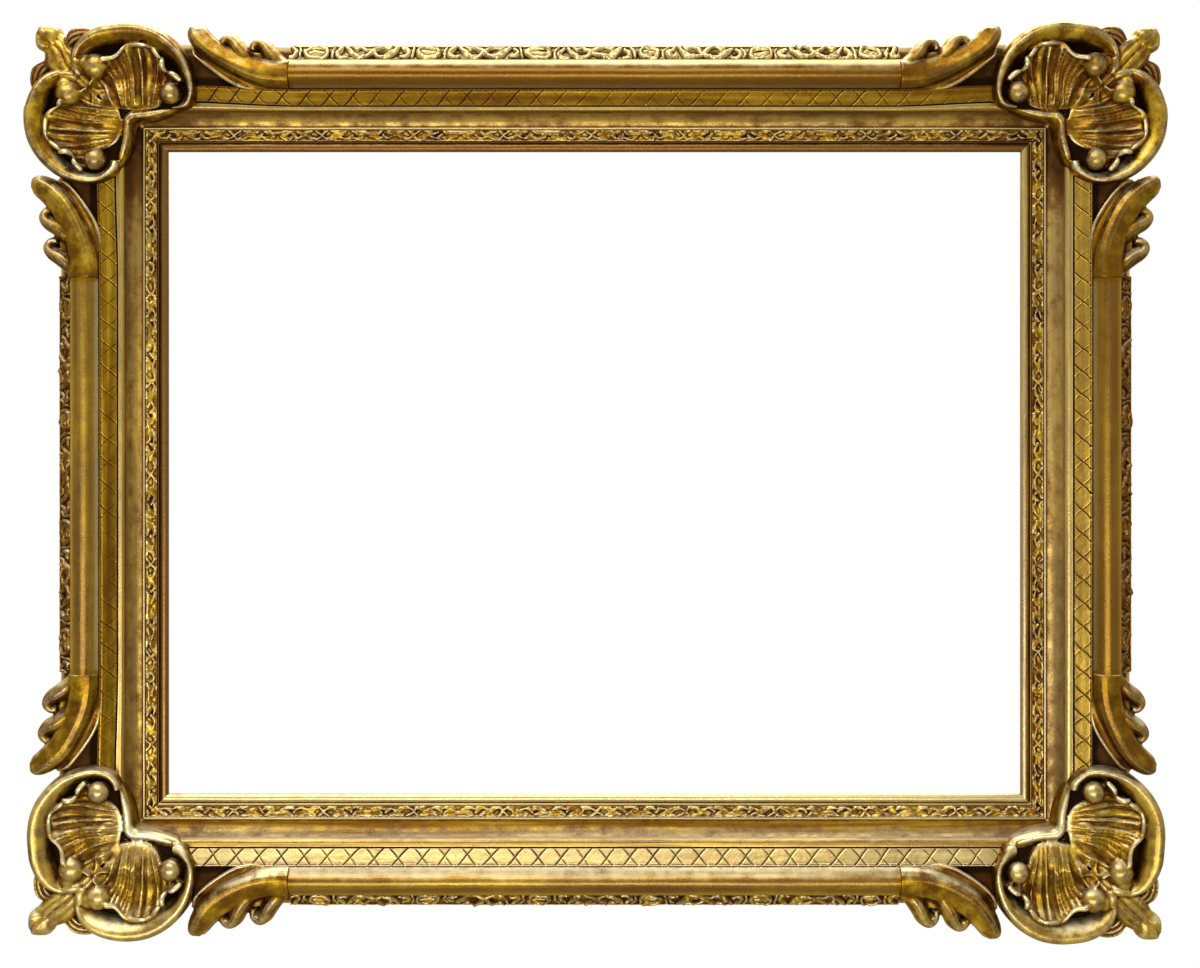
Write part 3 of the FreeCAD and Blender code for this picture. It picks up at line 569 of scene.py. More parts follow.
def make_rail(side):
    """A mitred rail with its front gilded and its back washed."""
    profile = banded((0, REBATE), RAIL_BANDS)
    seed = SIDES.index(side) * 7 + 3

    def worn(along, out, height):
        """Hand-cut edges wander a little."""
        front = eased(REBATE, REBATE + 1.5, height)
        height = height + front * 0.10 * wobble(along / 40, out / 5, seed)
        height = height + front * 0.04 * wobble(along / 6, out / 3, seed + 1)
        out = out + front * 0.06 * wobble(along / 24, out / 4, seed + 2)
        return out, height

    piece = moulding(f"rail_{side}_gilt", side, profile, 2.2, HALF_OPENING[side], worn, pad=40.0)
    height = -table_of(piece.data.polygons, "center")[:, 1] / MM
    bare = (height < REBATE + 0.2).astype(np.int32)
    piece.data.polygons.foreach_set("material_index", bare)
    values = relief(piece, (4, 14), (0.35, 1.1))
    places = places_of(piece.data)
    out = np.abs(places[:, 2 - WAY[side]]) / MM - SIGHT_EDGE[side]
    # painted shade: the coves are dark near the corners, most of all beside the upper ones, and so is the
    # torus's seat
    shaded = (1 - eased(5, 60, from_end(piece, side, HALF_OPENING[side])))
    shaded = shaded * eased(STRIP_END - 1, STRIP_END + 1, out)
    shaded = shaded * np.where(places[:, 2] > 0, 0.32 if WAY[side] else 0.16, 0.08)
    seat = eased(FRIEZE_END - 0.2, FRIEZE_END + 0.3, out)
    seat = seat * eased(OUTER_EDGE, OUTER_EDGE + 3, height_of(piece))
    # painted shade: the rail under the inner strip is toned browner
    shade_under_strip = 0.3
    toning_and_painted_light = np.where(out > STRIP_END, TONING_AND_PAINTED_LIGHT["cove"][side], shade_under_strip)
    toning_and_painted_light = np.where(out < LIP_END, TONING_AND_PAINTED_LIGHT["lip"][side], toning_and_painted_light)
    mark_hollow_toning_and_light(piece, (values + shaded) * (1 - seat) + 0.5 * seat, toning_and_painted_light)
    smooth_shaded(piece, 50)
    finished(piece, "gilt_rail", f"rail_{side}", GILT_RAIL, WASHED_WOOD)


# how near the points of a carved surface lie, across and along
ORNAMENT_STEP = 0.42
ORNAMENT_SPACING = 0.5

# the lattice: from one scratch to the next, how far each leans, how deep it is, and how much is kept of it
# from one end of a rail to the other
LATTICE_SPACING = 16.0
LATTICE_RUN = 10.5
LATTICE_DEPTH = 0.8
LATTICE_STRENGTH = {"top": (0.75, 0.35), "right": (0.8, 0.9), "bottom": (1.0, 1.0), "left": (0.3, 0.45)}


def make_frieze(side):
    """The flat band with its scratched lattice, laid on the rail."""
    bed = FRIEZE_FOOT - 2.5
    top = run((GROOVE_END, FRIEZE_FOOT), (FRIEZE_END, FRIEZE_HEAD), ORNAMENT_STEP)
    profile = np.vstack([
        [(GROOVE_END, bed + 0.6)], top, [(FRIEZE_END, FRIEZE_HEAD), (FRIEZE_END, FRIEZE_HEAD - 3.4)],
    ])
    seed = SIDES.index(side) * 5 + 41
    strength = LATTICE_STRENGTH[side]
    half = HALF_OPENING[side]

    def scratched(along, out, height):
        share = (out - GROOVE_END) / (FRIEZE_END - GROOVE_END)
        on_top = eased(bed + 2.0, bed + 2.6, height - share * (FRIEZE_HEAD - FRIEZE_FOOT))
        depth = np.zeros_like(along)
        for lean, width, weight in ((1, 0.55, 1.0), (-1, 0.36, 0.7)):
            bent = along - lean * LATTICE_RUN * (share - 0.5 + 0.03 * np.sin(share * 2 * math.pi))
            bent = bent + 1.6 * wobble(along / 30, share * 0, seed + lean)
            which = np.floor(bent / LATTICE_SPACING)
            near = np.abs((bent / LATTICE_SPACING - which - 0.5) * LATTICE_SPACING)
            fade = 0.65 + 0.5 * hashed(which, which * 0, seed + lean * 2)
            depth = np.maximum(depth, np.exp(-(near / width) ** 2) * weight * fade)
        place = (along / half + 1) / 2
        kept = strength[0] + (strength[1] - strength[0]) * place + 0.35 * wobble(along / 60, share, seed + 9)
        height = height - on_top * (depth * np.clip(kept, 0, 1.1) * LATTICE_DEPTH)
        height = height - on_top * 0.5 * np.exp(-((out - FRIEZE_END + 0.8) / 0.5) ** 2)
        waves = 0.12 * wobble(along / 20, out / 4, seed) + 0.05 * wobble(along / 3, out / 2, seed)
        return out, height + on_top * waves

    piece = moulding(f"frieze_{side}", side, profile, ORNAMENT_SPACING, half, scratched, pad=8.0)
    values = relief(piece, (2, 8), (0.12, 0.4))
    # painted shade: the frieze is darker where it runs under the corner castings
    shade_under_casting = 1 - eased(17.5, 20.0, from_end(piece, side, half))
    mark_hollow_toning_and_light(piece, np.where(values < 0, values * 0.3, values) + 0.75 * shade_under_casting, TONING_AND_PAINTED_LIGHT["frieze"][side])
    smooth_shaded(piece, 60)
    piece.data.materials.append(GILT_RAIL)
    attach(piece, "frame")


def make_torus(side):
    """The burnished half-round between the leaf ends."""
    profile = np.vstack([
        bow((FRIEZE_END, FRIEZE_HEAD - 1.4), (TORUS_END, TORUS_EDGE), TORUS_RISE, 0.9),
        [(TORUS_END, TORUS_EDGE), (TORUS_END, TORUS_SEAT), (FRIEZE_END, TORUS_SEAT)],
    ])
    seed = SIDES.index(side) + 61

    def hand_rubbed(along, out, height):
        over = eased(TORUS_EDGE, TORUS_EDGE + 4, height)
        waves = 0.14 * wobble(along / 45, out / 12, seed) + 0.03 * wobble(along / 8, out / 5, seed)
        return out, height + over * waves

    piece = moulding(f"torus_{side}_gilt", side, profile, 1.6, TORUS_HALF[side], hand_rubbed)
    values = relief(piece, (3, 12), (0.4, 1.6))
    mark_hollow_toning_and_light(piece, values * eased(1.0, 6.0, from_end(piece, side, TORUS_HALF[side])), TONING_AND_PAINTED_LIGHT["torus"][side])
    smooth_shaded(piece, 50)
    finished(piece, "gilt_torus", f"torus_{side}", GILT_TORUS)


# Running ornament: strokes on a strip, each a path of (along, share across) points, its widths in
# millimetres at the start, middle and end, and a share of the full height. A motif runs from where the
# strokes cross to the middle of the next figure, and mirrors there.
BOW_STROKES = (
    (((-6.5, 0.1), (-2.5, 0.3), (0, 0.5), (2.5, 0.7), (6.5, 0.9)), (1, 1.7, 1), 1),
    (((-6.5, 0.9), (-2.5, 0.7), (0, 0.5), (2.5, 0.3), (6.5, 0.1)), (1, 1.7, 1), 1),
    (((6, 0.22), (9.5, 0.2), (13, 0.46), (17.5, 0.84)), (1.2, 2.5, 1), 1),
    (((8, 0.88), (11, 0.8), (13, 0.92)), (0.8, 1.3, 0.7), 0.8),
    (((18.5, 0.18), (22, 0.22), (23.5, 0.5), (20.5, 0.8)), (1, 1.8, 1.2), 0.9),
    (((25, 0.88), (26.5, 0.6), (26.5, 0.25)), (0.8, 1.1, 0.8), 0.7),
    (((37, 0.14), (32.5, 0.18), (30.2, 0.5), (32.5, 0.82), (37, 0.88)), (1.4, 1.5, 1.4), 1),
    (((33, 0.5), (37, 0.5)), (1.3, 1.7, 1.5), 0.85),
)
VINE_STROKES = (
    (((-5, 0.06), (-1.5, 0.34), (0, 0.5), (1.5, 0.66), (5, 0.94)), (0.7, 1.1, 0.7), 1),
    (((-5, 0.94), (-1.5, 0.66), (0, 0.5), (1.5, 0.34), (5, 0.06)), (0.7, 1.1, 0.7), 1),
    (((4.5, 0.2), (8.5, 0.26), (12, 0.52), (16.5, 0.3)), (1, 2, 0.7), 1),
    (((7.5, 0.9), (11, 0.82), (15, 0.66), (20, 0.84)), (0.8, 1.7, 0.8), 0.9),
    (((18, 0.22), (21, 0.3), (23.5, 0.6)), (0.8, 1.4, 0.8), 0.9),
    (((24, 0.3), (28, 0.18), (34, 0.4)), (0.8, 1.6, 1), 1),
    (((25, 0.86), (29.5, 0.7), (37, 0.72)), (0.8, 1.8, 1.4), 1),
)
MOTIF_HALF = 37.0
STROKE_FULLNESS = 1.2


def stroke_height(along, across, width, strokes, stretch):
    """The height share of the ornament, where across runs from 0 to 1 over a strip of this width."""
    along = along + 1.5 * wobble(along / 8, across * 2, 5)
    across = across + 0.10 * wobble(along / 7, across * 2, 6)
    folded = np.abs((along / stretch + MOTIF_HALF) % (2 * MOTIF_HALF) - MOTIF_HALF)
    best = np.zeros_like(folded)
    for points, widths, weight in strokes:
        path = smooth_path(points, 5)
        shares = np.linspace(0, 1, len(path))
        for first, last, share in zip(path, path[1:], shares):
            wide = np.interp(share, (0, 0.5, 1), widths) * STROKE_FULLNESS
            start, way = first * (stretch, width), (last - first) * (stretch, width)
            x, y = folded * stretch - start[0], across * width - start[1]
            on_way = np.clip((x * way[0] + y * way[1]) / (way @ way), 0, 1)
            far = np.hypot(x - way[0] * on_way, y - way[1] * on_way)
            best = np.maximum(best, weight * np.sqrt(np.clip(1 - (far / wide) ** 2, 0, 1)))
    return best


def make_strip(side, kind, low, high, rise, half, stretch, pad, strokes):
    """A pressed strip of running ornament on the ground from low to high, two (out, height) points."""
    low, high = np.array(low), np.array(high)
    ground = run(low, high, ORNAMENT_STEP)
    way = high - low
    width = np.linalg.norm(way)
    away = np.array([-way[1], way[0]]) / width
    sunk = -away * 2.0
    profile = np.vstack([ground, [high, high + sunk, low + sunk]])
    on_top = np.arange(len(profile)) < len(ground) + 1
    seed = SIDES.index(side) * 3 + 81

    def pressed(along, out, height):
        across = np.clip(((out - low[0]) * way[0] + (height - low[1]) * way[1]) / width**2, 0, 1)
        moved = along + 1.5 * wobble(along / 25, out * 0, seed)
        tall = stroke_height(moved, across, width, strokes, stretch)
        uneven = 0.75 + 0.3 * wobble(along / 7, out / 3, seed) + 0.25 * wobble(along / 2.6, out / 2, seed + 4)
        tall = tall * rise * uneven
        edge = np.exp(-(across * width / 0.55) ** 2) + np.exp(-((1 - across) * width / 0.55) ** 2)
        tall = np.maximum(tall, edge * rise * 0.45) + 0.10 * wobble(along / 2.5, out / 2, seed + 1)
        tall = tall * on_top
        return out + away[0] * tall, height + away[1] * tall

    piece = moulding(f"{kind}_{side}_gilt", side, profile, ORNAMENT_SPACING, half, pressed, pad)
    mark_hollow_toning_and_light(piece, relief(piece, (3, 12), (0.30, 1.1)), TONING_AND_PAINTED_LIGHT[kind][side])
    smooth_shaded(piece, 60)
    finished(piece, "gilt_strip", f"{kind}_{side}", GILT_STRIP)


# Corner castings. One master is modelled in plan, (u, v, height), with one arm mirrored across the mitre.

CASTING_FOOT = 19.0
CORNER_VOXEL = 0.71
SWEEP_STEPS = 7
SCROLL_LINE = (
    # u, v, half width, top
    (46, 50.5, 1.8, 40), (51.5, 54.5, 2.8, 43), (54, 62, 4, 45), (50.5, 71, 5.8, 47), (43, 77, 7, 49),
    (32, 80.8, 7.7, 50), (20, 82, 7.9, 50), (7, 79.8, 7.8, 50), (-4.5, 73.5, 7.4, 49.5), (-14, 64, 6.4, 48.5),
    (-19.3, 53, 5, 47.5), (-21, 43, 4.3, 46.5), (-19.2, 36, 3.8, 45), (-14.5, 31.5, 3.4, 43.5),
    (-8.5, 30, 2.6, 42),
)
SCROLL_SHARES = (
    # share of the half width to the outside, share of the height
    (0.96, 0), (1, 0.40), (1, 0.62), (0.96, 0.77), (0.86, 0.89), (0.68, 0.965), (0.44, 1), (0.18, 0.995),
    (-0.08, 0.965), (-0.32, 0.92), (-0.54, 0.865), (-0.73, 0.80), (-0.88, 0.72), (-0.97, 0.61), (-1, 0.5),
    (-0.96, 0),
)
ROUND_SHARES = ((0.9, 0), (0.98, 0.6), (0.8, 0.84), (0.4, 0.97), (0, 1), (-0.4, 0.97), (-0.8, 0.84),
                (-0.98, 0.6), (-0.9, 0))
LOBE_SHARES = ((0.95, 0), (1, 0.6), (0.92, 0.84), (0.72, 0.95), (0.58, 0.86), (0.44, 0.97), (0.2, 1),
               (0.06, 0.88), (-0.1, 1), (-0.3, 0.97), (-0.44, 0.86), (-0.6, 0.95), (-0.85, 0.82), (-1, 0.6),
               (-0.95, 0))
STEM_SHARES = ((0.95, 0), (1, 0.7), (0.86, 0.88), (0.64, 0.96), (0.42, 0.955), (0.22, 1), (0.08, 0.985),
               (-0.02, 0.96), (-0.12, 0.99), (-0.28, 1), (-0.46, 0.96), (-0.66, 0.96), (-0.86, 0.88),
               (-1, 0.7), (-0.95, 0))
# u, v, radius
OUTER_BALL = (40.6, 59.4, 9.0)
INNER_BALL = (-8.0, 41.0, 7.6)
BALL_ROOT = 35.0
# the shell's foot and its rim, in plan
FOOT_LINE = ((34, 33), (28, 28.6), (23, 27.2), (17.5, 26.6), (11.5, 26.9), (5, 28.6), (0.5, 32.4), (-3, 39))
RIM_LINE = ((45, 46.5), (41.5, 52), (39, 58), (35.5, 62), (31, 64.5), (25.5, 70), (18, 73.5), (10, 74),
            (3.5, 71), (0, 66), (-4, 63), (-3.5, 58), (-7.5, 54.5), (-12, 52.5), (-15.5, 49.5))
COLLAR_LINE = ((22.6, 18.4, 4.6, 41.4), (20.9, 20.9, 4.8, 41.4), (18.4, 22.4, 4.6, 41),
               (14.5, 22.9, 4.3, 40.4), (8, 23.6, 4.1, 39.8), (1, 25.2, 3.7, 39), (-6, 27, 3, 38),
               (-12, 28.6, 2, 37))
LOBE_LINE = ((62, 68, 4.5, 38), (61, 74, 7, 41), (57, 79, 7.6, 41), (50, 81.5, 6.5, 40), (43, 81, 4.5, 38))
STEM_LINE = ((40, 40, 5, 40), (51, 51, 8.4, 43.5), (60, 60, 11.4, 45), (68, 68, 12, 44.5),
             (75, 75, 10.4, 43.5), (81, 81, 8.4, 42))
# the bed's outer edge as far as the mitre, and its inner edge from end to end
BED_LINE = ((-20, 34), (-22, 46), (-16, 62), (-4, 73), (10, 79), (30, 81), (46, 78), (58, 80), (70, 82),
            (82, 82))
BED_INNER = ((31, -17), (27.5, -12), (26.5, -4), (26, 26), (-4, 26.5), (-12, 27.5), (-17, 31), (-20, 34))
BED_TOP = 36.2


def sweep(name, line, shares, foot, last_shares=None):
    """A closed tube along (u, v, half width, top) stations, its section in shares of width and height."""
    line = smooth_path(line, SWEEP_STEPS)
    way = unit(np.gradient(line[:, :2], axis=0))
    side = np.stack([way[:, 1], -way[:, 0]], axis=1)
    first = np.array(shares, dtype=float)[None]
    last = np.array(last_shares or shares, dtype=float)[None]
    share = eased(0.0, 0.45, np.linspace(0, 1, len(line)))[:, None, None]
    shares = first * (1 - share) + last * share
    plan = line[:, None, :2] + side[:, None] * (shares[..., :1] * line[:, None, 2:3])
    height = foot + shares[..., 1] * (line[:, None, 3] - foot)
    places = np.concatenate([plan, height[..., None]], axis=2).reshape(-1, 3)
    return mesh_piece(name, places, loop_faces(len(line), shares.shape[1]))


def cord_along(name, line, columns=10, steps=6):
    """A closed round tube along (u, v, height, radius) stations."""
    line = smooth_path(line, steps)
    way = unit(np.gradient(line[:, :3], axis=0))
    side = unit(np.cross(way, (0, 0, 1)))
    up = np.cross(side, way)
    turn = np.linspace(0, 2 * math.pi, columns, endpoint=False)
    ring = side[:, None] * np.cos(turn)[None, :, None] + up[:, None] * np.sin(turn)[None, :, None]
    places = (line[:, None, :3] + ring * line[:, None, 3:4]).reshape(-1, 3)
    return mesh_piece(name, places, loop_faces(len(line), columns))


def ball(name, u, v, height, radius, flat=1.0):
    bpy.ops.mesh.primitive_uv_sphere_add(segments=28, ring_count=18, radius=radius, location=(u, v, height))
    piece = bpy.context.object
    piece.name = name
    piece.scale = (1, 1, flat)
    bpy.ops.object.transform_apply(location=True, rotation=False, scale=True)
    return piece


def plate(name, outline, top, foot):
    """A flat solid on an outline in plan."""
    count = len(outline)
    places = [(u, v, height) for height in (top, foot) for u, v in outline]
    walls = [(i, (i + 1) % count, (i + 1) % count + count, i + count) for i in range(count)]
    return mesh_piece(name, places, [range(count), range(2 * count - 1, count - 1, -1), *walls])


def slab(name, plan, top, foot):
    """A closed solid on a grid of plan places (rows, columns, 2), from foot up to the heights in top."""
    rows, columns = top.shape
    upper = np.concatenate([plan, top[..., None]], axis=2).reshape(-1, 3)
    lower = upper.copy()
    lower[:, 2] = foot
    index = np.arange(rows * columns).reshape(rows, columns)
    quads = np.stack([index[:-1, :-1], index[:-1, 1:], index[1:, 1:], index[1:, :-1]], axis=-1).reshape(-1, 4)
    edge = np.concatenate([index[0], index[1:, -1], index[-1, -2::-1], index[-2:0:-1, 0]])
    beyond = np.roll(edge, -1)
    below = rows * columns
    walls = np.stack([edge, edge + below, beyond + below, beyond], axis=1)
    faces = quads.tolist() + (quads[:, ::-1] + below).tolist() + walls.tolist()
    return mesh_piece(name, np.vstack([upper, lower]), faces)


# the rails' front as (out, height) points
RAIL_FRONT = np.array([
    (0, LIP_HEIGHT), (LIP_END, LIP_HEIGHT), (STRIP_END, COVE_FOOT), (COVE_END, FILLET_HEIGHT),
    (FILLET_END, FILLET_HEIGHT), (FRIEZE_END, FRIEZE_HEAD), (FRIEZE_END + 0.1, TORUS_SEAT),
    (TORUS_END, TORUS_SEAT), (RAIL_WIDTH, OUTER_EDGE),
])


def evenly(line, count):
    """Points at equal steps along a smooth curve."""
    curve = smooth_path(line, 24)
    reach = np.concatenate([[0], np.cumsum(np.linalg.norm(np.diff(curve, axis=0), axis=1))])
    steps = np.linspace(0, reach[-1], count)
    return np.column_stack([np.interp(steps, reach, axis) for axis in curve.T])


FAN_POINTS = 280
FAN_ROWS = 100
FAN_RIBS = 19.0


def fan():
    """The ribbed half shell above one rail, from its foot by the collar out to its ruffled rim."""
    rim = evenly(RIM_LINE, FAN_POINTS)
    foot = evenly(FOOT_LINE, FAN_POINTS)
    around = np.linspace(0, 1, FAN_POINTS)[None]
    share = np.linspace(0, 1, FAN_ROWS)[:, None]
    way = rim - foot
    aside = np.stack([-way[:, 1], way[:, 0]], axis=1) * 0.05
    plan = foot + share[..., None] * way + np.sin(math.pi * share)[..., None] * aside
    under = np.interp(np.maximum(plan[..., 0], plan[..., 1]), *RAIL_FRONT.T)
    bowl = 38.8 + 2.8 * eased(0.0, 0.35, share) - 2.6 * np.sin(math.pi * eased(0.3, 1.0, share))
    bowl = bowl + 3.2 * eased(0.8, 1.0, share) + 1.2 * np.sin(around * 2.2 * math.pi) * share
    bowl = np.maximum(bowl, under + 1.6)
    phase = FAN_RIBS * (around + 0.026 * np.sin(around * 19) + 0.012 * np.sin(around * 47 + 1))
    swirl = phase + 0.45 * wobble(around * 6, share * 1.8, 3) + 0.12 * wobble(around * 21, share * 6, 7)
    crest = np.abs(np.sin(math.pi * swirl)) ** 0.9
    lift = 0.45 + 0.75 * hashed(np.floor(swirl), swirl * 0, 4)
    worked = 1 + 0.45 * wobble(around * 17, share * 5, 8)
    depth = 2.5 * worked * eased(0.0, 0.16, share) * (1 - 0.25 * eased(0.9, 1.0, share))
    depth = depth * eased(0.02, 0.16, around)
    fine = np.abs(np.sin(math.pi * swirl * 3 + 0.7))
    top = bowl + depth * (crest * lift - 0.6) + 0.2 * fine * worked * eased(0.05, 0.3, share)
    return slab("fan", plan, top, CASTING_FOOT + 3)


def one_arm():
    """What stands over one rail: the scroll, its balls, half of the shell and half of the collar."""
    u, v, radius = OUTER_BALL
    pieces = [
        sweep("scroll", SCROLL_LINE, SCROLL_SHARES, CASTING_FOOT),
        ball("outer_ball", u, v, 41.5, radius, 0.9),
        ball("outer_ball_root", u, v, BALL_ROOT, radius * 0.95),
        ball("outer_ball_neck", u + 6.8, v + 2.0, 40.5, 6.4),
    ]
    u, v, radius = INNER_BALL
    rim = smooth_path(RIM_LINE[3:], 6)
    share = np.linspace(0, 1, len(rim))
    ruffle = 45.6 + 1.2 * np.sin(share * 22) + 0.8 * np.sin(share * 37 + 1)
    wide = 1.75 + 0.4 * np.sin(share * 29)
    wave = 0.7 * np.sin(share * 30 + 0.5)
    return pieces + [
        ball("inner_ball", u, v, 42.0, radius, 0.9),
        ball("inner_ball_root", u, v, BALL_ROOT, radius * 0.95),
        cord_along("hook", ((53.5, 64, 42.5, 3.6), (53.2, 57.5, 43, 3.6), (51.2, 53.5, 42, 2.8))),
        fan(),
        cord_along("rim", np.column_stack([rim + wave[:, None], ruffle, wide]), 8, 2),
        # over the cove, before a dark slit at the foot of the fan
        sweep("collar", COLLAR_LINE, ROUND_SHARES, CASTING_FOOT),
        # the ribbed lobe that looks out behind the scroll, towards the mitre
        sweep("side_lobe", LOBE_LINE, LOBE_SHARES, CASTING_FOOT),
    ]


def soft_block(name, u, v, height, half, tall):
    """A rounded block, square to the rails."""
    piece = ball(name, 0, 0, 0, 1.0)
    places = places_of(piece.data)
    squared = np.sign(places) * np.abs(places) ** 0.6
    dent = 1 - 0.10 * np.exp(-((places[:, 0] - places[:, 1] - 0.3) / 0.22) ** 2) * (places[:, 2] > 0)
    put_places(piece.data, squared * (half, half, tall) * dent[:, None] + (u, v, height))
    return piece


def diagonal():
    """What lies across the mitre: the tip leaf, and the sunk bed that everything stands on."""
    half = smooth_path(BED_LINE, 4)
    outline = np.vstack([half, half[::-1, ::-1][1:], BED_INNER])
    return [
        sweep("stem", STEM_LINE, STEM_SHARES, CASTING_FOOT),
        soft_block("tip", 82.0, 82.0, 33.5, 8.8, 10.5),
        ball("tip_foot", 82, 82, 26, 8.4),
        ball("hub", 31.5, 31.5, 33.5, 8.0, 0.7),
        plate("bed", outline, BED_TOP, CASTING_FOOT),
    ]


def fused(name, pieces, voxel):
    """One closed skin over many overlapping solids."""
    for piece in pieces:
        outward(piece)
    only(*pieces)
    bpy.ops.object.join()
    whole = bpy.context.object
    whole.name = name
    remesh = whole.modifiers.new("skin", "REMESH")
    remesh.mode = "VOXEL"
    remesh.voxel_size = voxel
    remesh.use_smooth_shade = True
    bpy.ops.object.modifier_apply(modifier="skin")
    soften = whole.modifiers.new("soften", "SMOOTH")
    soften.factor = 0.5
    soften.iterations = 2
    bpy.ops.object.modifier_apply(modifier="soften")
    return whole


def swapped(piece):
    """A copy mirrored across the mitre."""
    copy = copied(piece)
    put_places(copy.data, places_of(copy.data)[:, (1, 0, 2)])
    copy.data.flip_normals()
    return copy


def at_corner(across, up, u, v, height):
    """World places, in metres, of points in the plan of the corner across (-1 or 1) and up (-1 or 1)."""
    return np.stack([across * (HALF_WIDTH + u), -height, up * (HALF_HEIGHT + v)], axis=1) * MM


def laid(master, name, places):
    """A copy of a master with its points put at these places."""
    copy = copied(master)
    copy.name = copy.data.name = name
    put_places(copy.data, places)
    outward(copy)
    return copy


def casting_relief(piece):
    """The hollows of a casting, and painted shade on its sunk ground."""
    values = relief(piece, (3, 11, 24), (0.35, 1.3, 3.2))
    height = height_of(piece)
    forward = -table_of(piece.data.vertex_normals, "vector")[:, 1]
    # painted shade: the sunk ground that faces forward between the ornaments is marked as a deep hollow
    sunk = (1 - eased(36.6, 38.4, height)) * eased(0.5, 0.8, forward) * eased(33.0, 35.0, height)
    return np.clip(values + 0.8 * sunk, -1, 1)


CORNERS = {
    # name: (across, up), how far the side scroll and the head scroll stand out from the master, the same of
    # the tip, how brown the whole is toned and how much browner its shell and its collar; painted light and
    # shade in it, the bottom corners paler as if lit
    "top_left": ((-1, 1), (3.2, -3.6), (-4.5, -6.0), (0.15, 0.45, 0.1)),
    "top_right": ((1, 1), (4.6, -2.6), (0.0, -7.0), (0.2, 0.45, 0.1)),
    "bottom_left": ((-1, -1), (0.8, 4.6), (0.5, 1.0), (-0.3, 0.15, -0.4)),
    "bottom_right": ((1, -1), (3.0, 6.6), (1.0, 4.0), (-0.25, 0.15, -0.3)),
}


def hand_set(u, v, scrolls, tip):
    """Each corner was set by hand, so its scrolls and tip stand a little in or out."""
    at_tip = eased(58, 74, np.minimum(u, v))
    return (u + (1 - at_tip) * scrolls[0] * eased(25, 34, u) + at_tip * tip[0],
            v + (1 - at_tip) * scrolls[1] * eased(25, 34, v) + at_tip * tip[1])


def make_corners():
    arm = one_arm()
    pieces = arm + [swapped(piece) for piece in arm] + diagonal()
    master = fused("corner_master", pieces, CORNER_VOXEL)
    values = None
    u, v, height = places_of(master.data).T
    out, along = np.maximum(u, v), np.minimum(u, v)
    in_fan = eased(30, 36, out) * (1 - eased(44.5, 46.5, height)) * (1 - eased(60, 68, out))
    in_fan = in_fan * (1 - eased(42, 48, along))
    on_collar = (1 - eased(27, 29, out)) * eased(37, 39, height)
    on_lobe = eased(66, 72, out) * (1 - eased(42, 44, height)) * (1 - eased(66, 70, along))
    balls = [np.hypot(along - at[0], out - at[1]) / at[2] for at in (OUTER_BALL, INNER_BALL)]
    on_ball = (1 - eased(0.9, 1.1, np.minimum(*balls))) * eased(38, 40, height)
    for corner, (place, scrolls, tip, (toning_and_painted_light, of_shell, of_collar)) in CORNERS.items():
        places = at_corner(*place, *hand_set(u, v, scrolls, tip), height)
        piece = laid(master, f"corner_{corner}_cast", places)
        if values is None:
            values = casting_relief(piece)
            values = np.where(values < 0, values * (1 - 0.3 * in_fan), values)
        # painted light and shade in the toning: the shell browner towards its rim than at its foot, and the
        # lobe behind the scroll browner
        shell = of_shell * in_fan * (1 - on_ball) * (0.4 + eased(38, 62, out))
        mark_hollow_toning_and_light(piece, values, toning_and_painted_light + shell + of_collar * on_collar + 0.7 * on_lobe)
        finished(piece, "gilt_casting", f"corner_{corner}", GILT_CASTING)
    bpy.data.objects.remove(master)


# Leaf ends: the torus runs out into a long leaf with two curled fingers

LEAF_FOOT = 21.5
LEAF_VOXEL = 0.72
LEAF_LINE = (
    # u, v, half width, top, from the torus to the tip
    (-89.5, 54, 10.7, 47.7), (-80, 54, 10.6, 47.6), (-70, 55, 10.4, 47.5), (-60, 57.6, 9.9, 47.4),
    (-49, 62.2, 9.6, 47.3), (-39, 68, 9.4, 47), (-31.5, 75, 8.9, 46.5), (-27, 81, 8.2, 45.5),
    (-24.5, 85.5, 6.8, 43.5), (-23.5, 89, 4.2, 40),
)
FINGER_LINES = (
    ((-66, 60, 4.6, 44), (-59, 66.5, 6, 45.5), (-54.5, 72, 6.2, 45.5), (-51.5, 77.5, 5.6, 44.5),
     (-47.5, 80.2, 4.6, 43.5), (-43.6, 78, 3.8, 42.5), (-43, 74, 3, 41.5)),
    ((-88, 59, 4.6, 43), (-80, 65.5, 5.8, 44.5), (-75.5, 70.5, 6, 44.5), (-72.5, 75.5, 5.4, 43.5),
     (-68.5, 78.2, 4.4, 42.5), (-64.6, 76, 3.6, 41.5), (-64, 72, 3, 40.5)),
)
LEAF_BED = ((-88, 43.5), (-70, 43.6), (-52, 47), (-38, 54), (-28, 62), (-23, 72), (-22, 82), (-30, 78),
            (-40, 74), (-50, 73), (-60, 71), (-72, 70), (-84, 66), (-88, 64.5))
LEAF_BED_TOP = 38.7
LEAF_SHARES = ((0.98, 0), (1, 0.5), (0.93, 0.74), (0.76, 0.90), (0.48, 0.985), (0.16, 1), (-0.18, 0.965),
               (-0.46, 0.92), (-0.66, 0.90), (-0.84, 0.87), (-0.96, 0.76), (-1, 0.55), (-0.98, 0))
TORUS_SHARES = ((0.98, 0), (1, 0.62), (0.93, 0.78), (0.76, 0.90), (0.52, 0.97), (0.26, 1), (0, 1),
                (-0.26, 0.99), (-0.52, 0.96), (-0.76, 0.89), (-0.93, 0.79), (-1, 0.66), (-0.98, 0))


